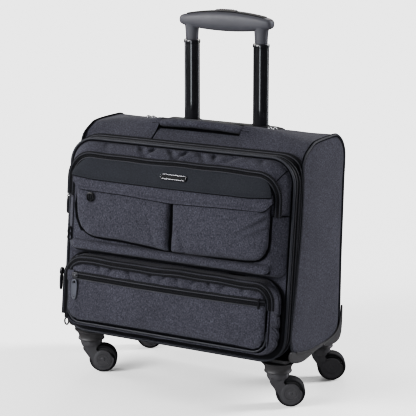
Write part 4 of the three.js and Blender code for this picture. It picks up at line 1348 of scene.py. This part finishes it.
def hanging(name, eye, length, wide, thick, material, body, stands_for, across=X_AXIS, out=OUT, ring=None):
    """A puller that hangs from its eye: with two holes, or from a ring of (drop, across, out)."""
    hang = np.asarray(eye) - UP * (ring[0] if ring else 0.0)
    place = axes(hang, across, UP, out)
    half = wide / 2
    tip, waist = -length + half * 0.9, -length * 0.6
    right = [(half * 0.62, 1.6), (half * 0.9, -2), (half, -8), (half * 0.92, waist), (half * 0.8, tip)]
    left = [(-a, b) for a, b in right[::-1]]
    outer = corners(
        (right, 22),
        ([right[-1], (half * 0.55, -length + 0.6), (0, -length), (-half * 0.55, -length + 0.6), left[0]], 16),
        (left, 22),
        ([left[-1], (0, 2.8), right[0]], 10),
    )
    path = place(np.column_stack([outer * (1 - 0.9 / half), np.zeros(len(outer))]))
    parts = [sweep_mesh(path, [(a * 1.15, b * thick * 0.5) for a, b in circle(1.0, 8)], out, True)]
    if ring:
        parts.append(prism_parts(outer * 0.86, place, -thick * 0.28, thick * 0.28))
    else:
        # dark discs set behind the puller's two holes: painted shadow inside them
        hole_shadows = []
        bar = rounded(half - 1.0, -length + 9.5, -4.2, 1.2, 1.2, 4, 4, 3)
        parts.append(prism_parts(bar, place, -thick * 0.3, thick * 0.3))
        for at in (-1.4, -length + 5.4):
            parts.append(ring_parts(place(np.array([0, at, 0.0])), across, UP, half * 0.5, 2.9, 0.9))
            hole_shadows.append(prism_parts(circle(half * 0.5, 20) + (0, at), place, -thick * 0.45, -thick * 0.15))
        build(name + "_eyes", hole_shadows, "shade", body, slot="pull_metal")
    build(name, parts, material, body, stands_for)
    if ring:
        loop = ring_parts(np.asarray(eye) + out * 0.2, across * ring[1] + out * ring[2], UP, 1.0, 3.0, 0.85)
        build(name + "_ring", [loop], "chrome", body, slot="moulded_plastic")


def make_pulls():
    # the horizontal zip's slider
    slider_place = axes(box_middle("front_zip_slider"), X_AXIS, UP, OUT)
    plan = smooth_curve([(-5.4, -3.2), (-5.4, 3.2), (-2, 4.8), (3, 4.2), (5.4, 2.2), (5.4, -2.2), (3, -4.2),
                         (-2, -4.8)], 32, True)
    dome = prism_parts(plan, slider_place, -1.8, 0.6)
    bridge = smooth_curve([(-3.4, 0, 0.4), (-2.6, 0, 2.0), (0, 0, 2.6), (2.6, 0, 2.0), (3.4, 0, 0.4)], 14)
    build("slider", [dome, sweep_mesh(slider_place(bridge), circle(0.9, 8), UP)], "steel", "front_slider",
          ("front_zip_slider",), bevel=0.4)

    hanging("front_puller", lid([-169, 93.4, 44.4]), 33, 11.6, 2.4, "silver", "front_pull",
            ("front_zip_pull",))

    # the pullers on the left: the lower pocket's, and the two of the main zip, one below the other
    side_x = box_middle("side_zip_pull")[0]
    main_x, main_y, _ = box_middle("main_zip_pull")
    main_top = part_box("main_zip_pull")[1][2] / MM
    for name, eye, length, wide, thick, body, stands_for, ring in (
        ("side_puller", (side_x, *lid([0, 100, 24])[1:]), 29, 7.6, 2.6, "side_pull", ("side_zip_pull",),
         (3.6, 2.6, 0)),
        ("main_puller", (main_x, main_y - 4, main_top - 4), 29.6, 8.2, 3.0, "main_pull", ("main_zip_pull",),
         (3.8, 2.8, 0)),
        ("second_puller", (-217.0, -68.5, 311.5), 30, 8.4, 2.8, "lid", (), (4.4, 3.0, 0)),
    ):
        hanging(name, eye, length, wide, thick, "satin", body, stands_for, across=OUT, out=-X_AXIS, ring=ring)

    # the small ring pull under the flap
    c = box_middle("flap_ring") - UP * 0.8
    loops = [ring_parts(c + OUT * 1.1, X_AXIS, UP, 6.0, 6.8, 1.35),
             ring_parts(c + OUT * 1.5, X_AXIS, UP, 1.6, 6.4, 0.9)]
    build("ring_pull", loops, "coil", "flap_ring_pull", ("flap_ring",))

    # the small metal ring at the lower left corner
    c = box_middle("corner_ring")
    c[0] = -190.0
    build("corner_d_ring", [ring_parts(c, X_AXIS, UP, 4.0, 6.0, 1.1)], "satin", "corner_ring_pull",
          ("corner_ring",), slot="pull_metal")
    tab = rounded(3.2, -4, 4, 1, 1, 4, 3, 3)
    part = prism_parts(tab, axes(lid([-190, 30.5, 32.6]), X_AXIS, UP, OUT), -1.0, 1.0)
    build("corner_tab", [part], "tape", "lid", bevel=0.3)
    # the sliders that the pullers on the left hang from
    for name, spot in (("side_slider", lid([-208.6, 104, 24])), ("main_slider", (-214.4, -59, 352)),
                       ("second_slider", (-214.8, -64, 316))):
        build(name, [prism_parts(plan, axes(spot, UP, OUT, -X_AXIS), -1.6, 1.6)], "satin", "lid",
              slot="pull_metal", bevel=0.5)


make_pulls()


# ------------------------------------------------------------------ carry handle
def make_carry():
    # a near-black sheet lining the recess under the carry handle: painted shadow in the hollow
    x, y = np.meshgrid(np.linspace(-81, 81, 40), np.linspace(4.0, 33, 18), indexing="ij")
    hollow = np.sin(math.pi * np.clip((y - 4.0) / 29.0, 0, 1)) ** 0.6
    table = smooth_curve(TOP_MIDDLE, 120)
    z = np.interp(y, table[:, 0], table[:, 1]) - 1.7 - 9 * hollow
    well = sheet("handle_well_shadow", np.stack([x, y, z], -1), 1.2, (0, 0, 1))
    dress(well, "shade", "shell", slot="lining_fabric")
    places = np.concatenate([[-80, -79, -76.5, -72], np.linspace(-66, 66, 41), [72, 76.5, 79, 80]])
    turn = turns(28)
    rings = []
    for x in places:
        size = 0.62 + 0.38 * edge(np.array(80.5 - abs(x)), 15)
        rise = 3.4 * (1 - (x / 80) ** 2)
        soft = 1 + 0.03 * math.sin(x / 9.0) + 0.02 * math.sin(x / 4.1 + 1)
        y = 11 + size * 9.8 * np.sign(np.sin(turn)) * np.abs(np.sin(turn)) ** 0.85
        z = 438 + rise - size * soft * 7.2 * np.sign(np.cos(turn)) * np.abs(np.cos(turn)) ** 0.85
        rings.append(np.column_stack([np.full(len(turn), x), y, z]))
    roll = new_object("carry_roll", *loft_mesh(rings))
    puff(roll, 1.2, 1.5, 3.0)
    dress(roll, "melange", "carry", ("carry_handle",), ready=True)
    tree = surface_tree(roll)
    x = np.linspace(-74, 74, 60)
    for k, y in enumerate((5.2, 7.0)):
        line = np.column_stack([x, np.full(60, y), np.full(60, 450.0)])
        path = laid_on(tree, line, (0, -0.45, 1), 0.05)
        if k:
            stitches("carry_stitching", [(path, (0, -0.4, 1), False)], "carry")
        else:
            strand("carry_seam", path, 0.6, (0, -0.4, 1), "cord", "carry", sides=6)
    for name, sign in SIDES:
        path = smooth_curve([(sign * 76, 11, 438.5), (sign * 84, 11, 438.0), (sign * 93, 11, 437.4)], 10)
        flat = [(-6, -1.2), (6, -1.2), (6, 1.2), (-6, 1.2)]
        dress(sweep(f"carry_strap_{name}", path, flat, (0, 0, 1)), "tape", "carry")
        loop = rounded(9.5, -7, 6.5, 2.5, 2.5, 6, 4, 4)
        path = np.column_stack([np.full(len(loop), sign * 89.3), 11 + loop[:, 0] * 0.86,
                                429.5 + loop[:, 1] * 0.6])
        strand(f"handle_loop_{name}", path, 1.5, (1, 0, 0), "steel", "shell", closed=True,
               replaces=(f"handle_anchor_{name}",))
        seat = top_point(np.full((1, 1), sign * 118.0), np.full((1, 1), 0.44))[0, 0]
        plate = rounded(10, -6.5, 6.5, 5.5, 5.5, 6, 3, 6)
        part = prism_parts(plate, axes(seat, X_AXIS, (0, 1, -0.05), (0, 0.05, 1)), -0.6, 1.1)
        build(f"rivet_plate_{name}", [part], "satin", "shell", bevel=0.5)
        head = [(0, 2.8), (1.4, 2.7), (2.6, 2.2), (3.4, 1.4), (3.6, 0.4), (3.6, -0.4), (0, -0.4)]
        spots = [turned_parts(head, 18, lambda p, s=s, seat=seat: p + seat + (s, 0, 0.6))
                 for s in (-4.6, 4.6)]
        build(f"rivets_{name}", spots, "chrome", "shell")


make_carry()


# ------------------------------------------------------------------ trolley
TUBE_X, TUBE_Y = 67.2, 95.7     # the trolley tubes, to the side and behind
GRIP_HALF = 88.4                # half the grip's length


def oval(x, a, b, z, count):
    """An oval ring of points round a trolley tube."""
    turn = turns(count)
    return np.column_stack([x + a * np.cos(turn), TUBE_Y + b * np.sin(turn), np.full(count, float(z))])


def grip_heights(x):
    """The top and the underside of the grip's bowed bar."""
    share = 1 - (x / GRIP_HALF) ** 2
    return 614 + 10 * share, 597.5 - 7.5 * share


def make_grip():
    size = {GRIP_HALF: 0.52, 87.6: 0.68, 85.5: 0.84, 82: 0.94, 77: 0.985}
    places = np.array([*(-x for x in size), *np.linspace(-70, 70, 29), *reversed(size)])
    turn = turns(36)
    rings = []
    for x in places:
        high, low = grip_heights(x)
        share = size.get(round(abs(float(x)), 1), 1.0)
        half = share * (high - low) / 2
        deep = share * (10.5 + 2.5 * (1 - (x / GRIP_HALF) ** 2))
        s, c = np.sin(turn), np.cos(turn)
        y = TUBE_Y + deep * np.sign(s) * np.abs(s) ** 0.72
        z = (high + low) / 2 - half * np.sign(c) * np.abs(c) ** 0.72
        flat = z > high - 1.2
        z = np.where(flat, high - 1.2 + (z - high + 1.2) * 0.25, z)
        rings.append(np.column_stack([np.full(len(turn), x), y, z]))
    bar = tidy(new_object("grip", *loft_mesh(rings)), 50)
    well = rounded(19.1, -5.3, 5.3, 1.5, 1.5, 6, 4, 4)
    carve(bar, tidy(merged("button_well", [prism_parts(well, lambda p: p + (0, TUBE_Y, 0), 616.2, 640)]), 40))
    dress(bar, "grip", "trolley_inner", ("grip_body",), sharp=50)
    flare = [(572.3, 10.6, 9.0), (573.4, 10.9, 9.2), (584, 11.4, 9.5), (593, 12.2, 10.0), (599, 13.4, 10.8),
             (606, 15.5, 11.4)]
    legs = [loft_mesh([oval(sign * TUBE_X, a, b, z, len(turn)) for z, a, b in flare]) for _, sign in SIDES]
    build("grip_legs", legs, "grip", "trolley_inner", sharp=50)

    def strip(name, x0, x1, deep, above, under, material, body, replaces=()):
        x = np.linspace(x0, x1, 41)
        top = grip_heights(x)[0]
        profile = [(-deep, -under), (-deep, above - 0.9), (-deep + 0.9, above), (0, above + 0.4),
                   (deep - 0.9, above), (deep, above - 0.9), (deep, -under)]
        path = np.column_stack([x, np.full(41, TUBE_Y), top])
        dress(sweep(name, path, profile, (0, 0, 1)), material, body, replaces, sharp=35)

    strip("grip_cover_left", -74, -19.2, 7.2, 0.1, 3.6, "plate", "trolley_inner", ("grip_cover",))
    strip("grip_cover_right", 19.2, 74, 7.2, 0.1, 3.6, "plate", "trolley_inner")
    x = np.linspace(-19.4, 19.4, 9)
    edge_profile = [(-0.9, -2.6), (0.9, -2.6), (0.9, 0.1), (-0.9, 0.1)]
    for tag, sign in (("front", -1), ("rear", 1)):
        path = np.column_stack([x, np.full(9, TUBE_Y + sign * 6.3), grip_heights(x)[0]])
        dress(sweep(f"grip_cover_{tag}", path, edge_profile, (0, 0, 1)), "plate", "trolley_inner")
    strip("button_cap", -18.6, 18.6, 4.8, 1.9, 4.0, "plastic", "button", ("release_button",))
    ribs = []
    for x in np.arange(-12, 12.1, 4.0):
        top = float(grip_heights(np.array(x))[0])
        line = np.array([(x, TUBE_Y - 3.4, top + 2.25), (x, TUBE_Y, top + 2.45),
                         (x, TUBE_Y + 3.4, top + 2.25)])
        ribs.append(sweep_mesh(line, circle(0.5, 6), (1, 0, 0)))
    build("button_ribs", ribs, "plastic", "button")


def oval_tube(name, x, section, count, material, body, node, slot=None):
    """A hollow oval piece: its section is given as rows of (height, half width, half depth)."""
    rings = [oval(x, a, b, z, count) for z, a, b in section + section[:1]]
    tube = new_object(name, np.stack(rings, 1).reshape(-1, 3), quads(count, len(rings), True))
    dress(tube, material, body, (node,), slot, sharp=30)


def make_trolley():
    make_grip()
    for side, sign in SIDES:
        for stage, low, high, a, b, wall, material in (
            ("outer", 236, 566.2, 13.5, 11, 1.6, "gloss"),
            ("inner", 300, 572.2, 11.25, 8.75, 1.4, "brushed"),
        ):
            section = [(low, a - 0.6, b - 0.6), (low + 0.6, a, b), (high - 0.6, a, b),
                       (high, a - 0.6, b - 0.6),
                       (high, a - wall, b - wall), (low, a - wall, b - wall)]
            oval_tube(f"{stage}_stage_{side}", sign * TUBE_X, section, 96, material, f"trolley_{stage}",
                      f"{stage}_tube_{side}")
    collar = [(566.3, 13.6, 11.1), (566.3, 14.3, 11.8), (567.0, 14.5, 12.0), (570.4, 14.5, 12.0),
              (571.7, 13.9, 11.4), (572.0, 13.0, 10.5),
              (572.0, 11.8, 9.3), (566.3, 11.8, 9.3)]
    for side, sign in SIDES:
        oval_tube(f"collar_{side}", sign * TUBE_X, collar, 40, "gloss", "trolley_outer",
                  f"tube_collar_{side}", "moulded_plastic")
    x = np.array([-113, -112.4, -110.6, -107.5, -103.5, -98, *np.linspace(-92, 92, 25), 98, 103.5, 107.5,
                  110.6, 112.4, 113])
    section = [(79.0, 422), (79.0, 431.8), (80.6, 434.0), (84, 434.5), (92, 434.3), (102, 431.6),
               (109.5, 426.4), (113, 420), (113, 411.5), (109.8, 411.5), (109.8, 416)]
    rings = []
    for a in x:
        pull = 1 - edge(np.array(113.2 - abs(a)), 16)
        rings.append([(a, 96 + (y - 96) * (1 - 0.30 * pull), 422 + (z - 422) * (1 - 0.55 * pull) if z > 422
                       else z) for y, z in section])
    bezel = tidy(new_object("bezel", *loft_mesh(rings)), 40)
    cutters = [prism_parts(oval(sign * TUBE_X, 14.3, 11.8, 0, 40)[:, :2], lambda p: p, 400, 460) for _,
               sign in SIDES]
    carve(bezel, tidy(merged("bezel_cutter", cutters), 40))
    dress(bezel, "plate", "shell", ("trolley_bezel",), sharp=35)
    for name, sign in SIDES:
        path = oval(sign * TUBE_X, 15.2, 12.7, 433.4, 48)
        path[:, 2] -= 3 * np.clip(np.sin(turns(48)), 0, 1)
        strand(f"bezel_collar_{name}", path, 1.3, (0, 0, 1), "plate", "shell", closed=True)


make_trolley()


# ------------------------------------------------------------------ guards and casters
# where each caster swivels, how far they are turned, and the wheel behind and above its pivot
CASTERS = {"front_left": (-183, -57), "front_right": (183, -57), "rear_left": (-183, 99),
           "rear_right": (183, 99)}
TURN = math.radians(29.6)
TRAIL, WHEEL_Z = 20.5, 24.0


def make_guards():
    front_flange = smooth_curve([(-79.5, 95), (-79, 89), (-74, 83), (-64, 78.4), (-50, 74.6), (-36, 72.4),
                                 (-22, 72.4), (-4, 74.6), (14, 77), (24, 78),
                                 (22, 80.6), (6, 81.4), (-10, 82.4), (-26, 83.8), (-38, 85.4), (-47, 88.4),
                                 (-58, 93.6), (-68, 98), (-76, 98.6)], 76, True)
    front_sole = np.array([(-72, 77.4), (-70, 75.4), (-62, 73.2), (-35, 72.4), (-18, 75), (-18, 77.4)], float)
    rear_flange = smooth_curve([(50, 81), (50, 76.6), (64, 73), (82, 71), (99, 71.4), (110, 75.5),
                                (116, 84), (118.6, 98), (119.6, 116), (119.8, 130), (118.4, 131),
                                (116.4, 120), (112, 107), (105.5, 95), (94, 87.6), (78, 83.6)], 70, True)
    rear_sole = np.array([(60, 77.4), (60, 73), (80, 71), (102, 71), (113, 79), (119.4, 98), (120.4, 130),
                          (119.2, 133), (117.4, 131), (117.2, 84), (113, 77.4)], float)
    for name, (x, y) in CASTERS.items():
        sign = 1 if x > 0 else -1
        flange, sole = (front_flange, front_sole) if name.startswith("front") else (rear_flange, rear_sole)

        def place(p, sign=sign):
            return np.stack([sign * p[..., 2], p[..., 0], p[..., 1]], -1)

        lip = [(0, 57.8), (20.6, 57.8), (22.2, 58.2), (22.6, 59.2), (22.4, 60.4), (21.6, 61.4), (21.4, 65),
               (22.6, 69), (25.5, 73), (29, 76), (0, 76)]
        housing = turned_parts(lip, 40, lambda p, x=x, y=y: p + (x, y, 0))
        parts = [prism_parts(sole, place, 160, 205), prism_parts(flange, place, SIDE + 0.4, 215.4), housing]
        build(f"guard_{name}", parts, "plastic", "shell", (f"corner_guard_{name}",), bevel=1.1, sharp=42)
        centre = flange.mean(0)
        line = place(np.column_stack([centre + (flange - centre) * 0.9, np.full(len(flange), 215.3)]))
        strand(f"guard_rib_{name}", line, 0.55, (sign, 0, 0), "plastic", "shell", closed=True, sides=6)


def make_caster(name, x, y):
    """One swivel caster, turned as it stands: fork, neck, pin, wheel covers and tyre."""
    c, s = math.cos(TURN), math.sin(TURN)

    def place(p):
        """Along the trail, across the wheel and up, to the object."""
        a, b, z = p[..., 0], p[..., 1], p[..., 2]
        return np.stack([x + a * c - b * s, y + a * s + b * c, z], -1)

    def flat(p):
        return place(p[..., [0, 2, 1]])

    def about_axle(side=1):
        """The placing of a lathe's rows on the wheel's axle, from the middle out to one side."""
        return lambda p: place(np.stack([TRAIL + p[..., 0], side * p[..., 2], WHEEL_Z + p[..., 1]], -1))

    def round_wheel(reach, start, end, count):
        turn = np.radians(np.linspace(start, end, count))
        return [(TRAIL + reach * math.cos(a), WHEEL_Z + reach * math.sin(a)) for a in turn]

    arc = round_wheel(19.4, 196, 372, 28)
    left = [(-9.5, 52.5), (-12.6, 48), (-13.4, 43.6), (-9.4, 37.0), (-4.2, 29.8), (0.2, 23.0), arc[2]]
    right = [arc[-3], (38.6, 27.0), (34.2, 30.4), (27, 32.6), (19.4, 34.8), (12.6, 38.2), (9.0, 41.8),
             (9.6, 46), (10.2, 52.5)]
    arm = corners((left, 24), (arc[2:-2], 44), (right, 26), ([right[-1], left[0]], 4))
    parts = [prism_parts(arm, flat, 11.6, 15.0), prism_parts(arm, flat, -15.0, -11.6)]
    web = np.array([*smooth_curve(left[:5], 16), *round_wheel(25.6, 172, 106, 16), (9.0, 51.5)])
    parts.append(prism_parts(web, flat, -12.2, 12.2))
    build(f"fork_{name}", parts, "caster", f"caster_{name}", (f"caster_fork_{name}",), bevel=0.9, sharp=40)
    neck = [(0, 57.4), (17.2, 57.4), (18.1, 56.9), (18.4, 55.8), (18.3, 51.6), (17.6, 49.2), (16.2, 46.4),
            (14.2, 43.6), (12.2, 41.2), (9.6, 39.4), (0, 38.8)]
    pin = [(0, 74), (4.4, 74), (5, 73.4), (5, 57), (0, 57)]
    body = tidy(merged(f"neck_{name}", [turned_parts(neck, 56, place)]), 40)
    hollow = [(0, -11.4), (25.4, -11.4), (25.4, 11.4), (0, 11.4)]
    cutter = tidy(merged("wheel_space", [turned_parts(hollow, 64, about_axle())]), 40)
    carve(body, cutter)
    dress(body, "caster", f"caster_{name}", sharp=35)
    build(f"swivel_pin_{name}", [turned_parts(pin, 18, place)], "steel", f"caster_{name}")
    covers = []
    for side in (-1, 1):
        profile = [(0, 15.3), (2.6, 15.4), (3.4, 15.0), (8.8, 15.3), (9.2, 14.8), (10.0, 14.8),
                   (10.4, 15.4), (15.4, 15.3), (16.2, 14.9), (16.2, 12.2), (0, 12.2)]
        covers.append(turned_parts(profile, 44, about_axle(side)))
    build(f"wheel_cover_{name}", covers, "caster", f"caster_{name}", sharp=28)
    seat, rim = 19.3, 24.0
    half = [(seat, 9.6), (20.4, 10.6), (22.4, 10.9), (23.4, 10.2), (rim, 8.2), (rim, 2.2), (rim - 0.7, 1.6)]
    profile = [(r, -h) for r, h in half] + [(r, h) for r, h in half[::-1]] + [(seat, -9.6)]
    tyre = turned_parts(profile, 56, about_axle())
    build(f"tyre_{name}", [tyre], "tyre", f"wheel_{name}", (f"wheel_tyre_{name}",), sharp=30)


make_guards()
for caster, (cx, cy) in CASTERS.items():
    make_caster(caster, cx, cy)

# ------------------------------------------------------------------ the CAD pieces that stay
for node, material in {
    "base_tray": "plastic", "trolley_foot": "plastic", "release_yoke": "steel",
    "sheath_tube_left": "brushed", "sheath_tube_right": "brushed",
    **{f"wheel_axle_{name}": "steel" for name in CASTERS},
    **{f"wheel_hub_{name}": "plastic" for name in CASTERS},
}.items():
    mesh = nodes[node].data
    mesh.materials.clear()
    mesh.materials.append(MAT[material])
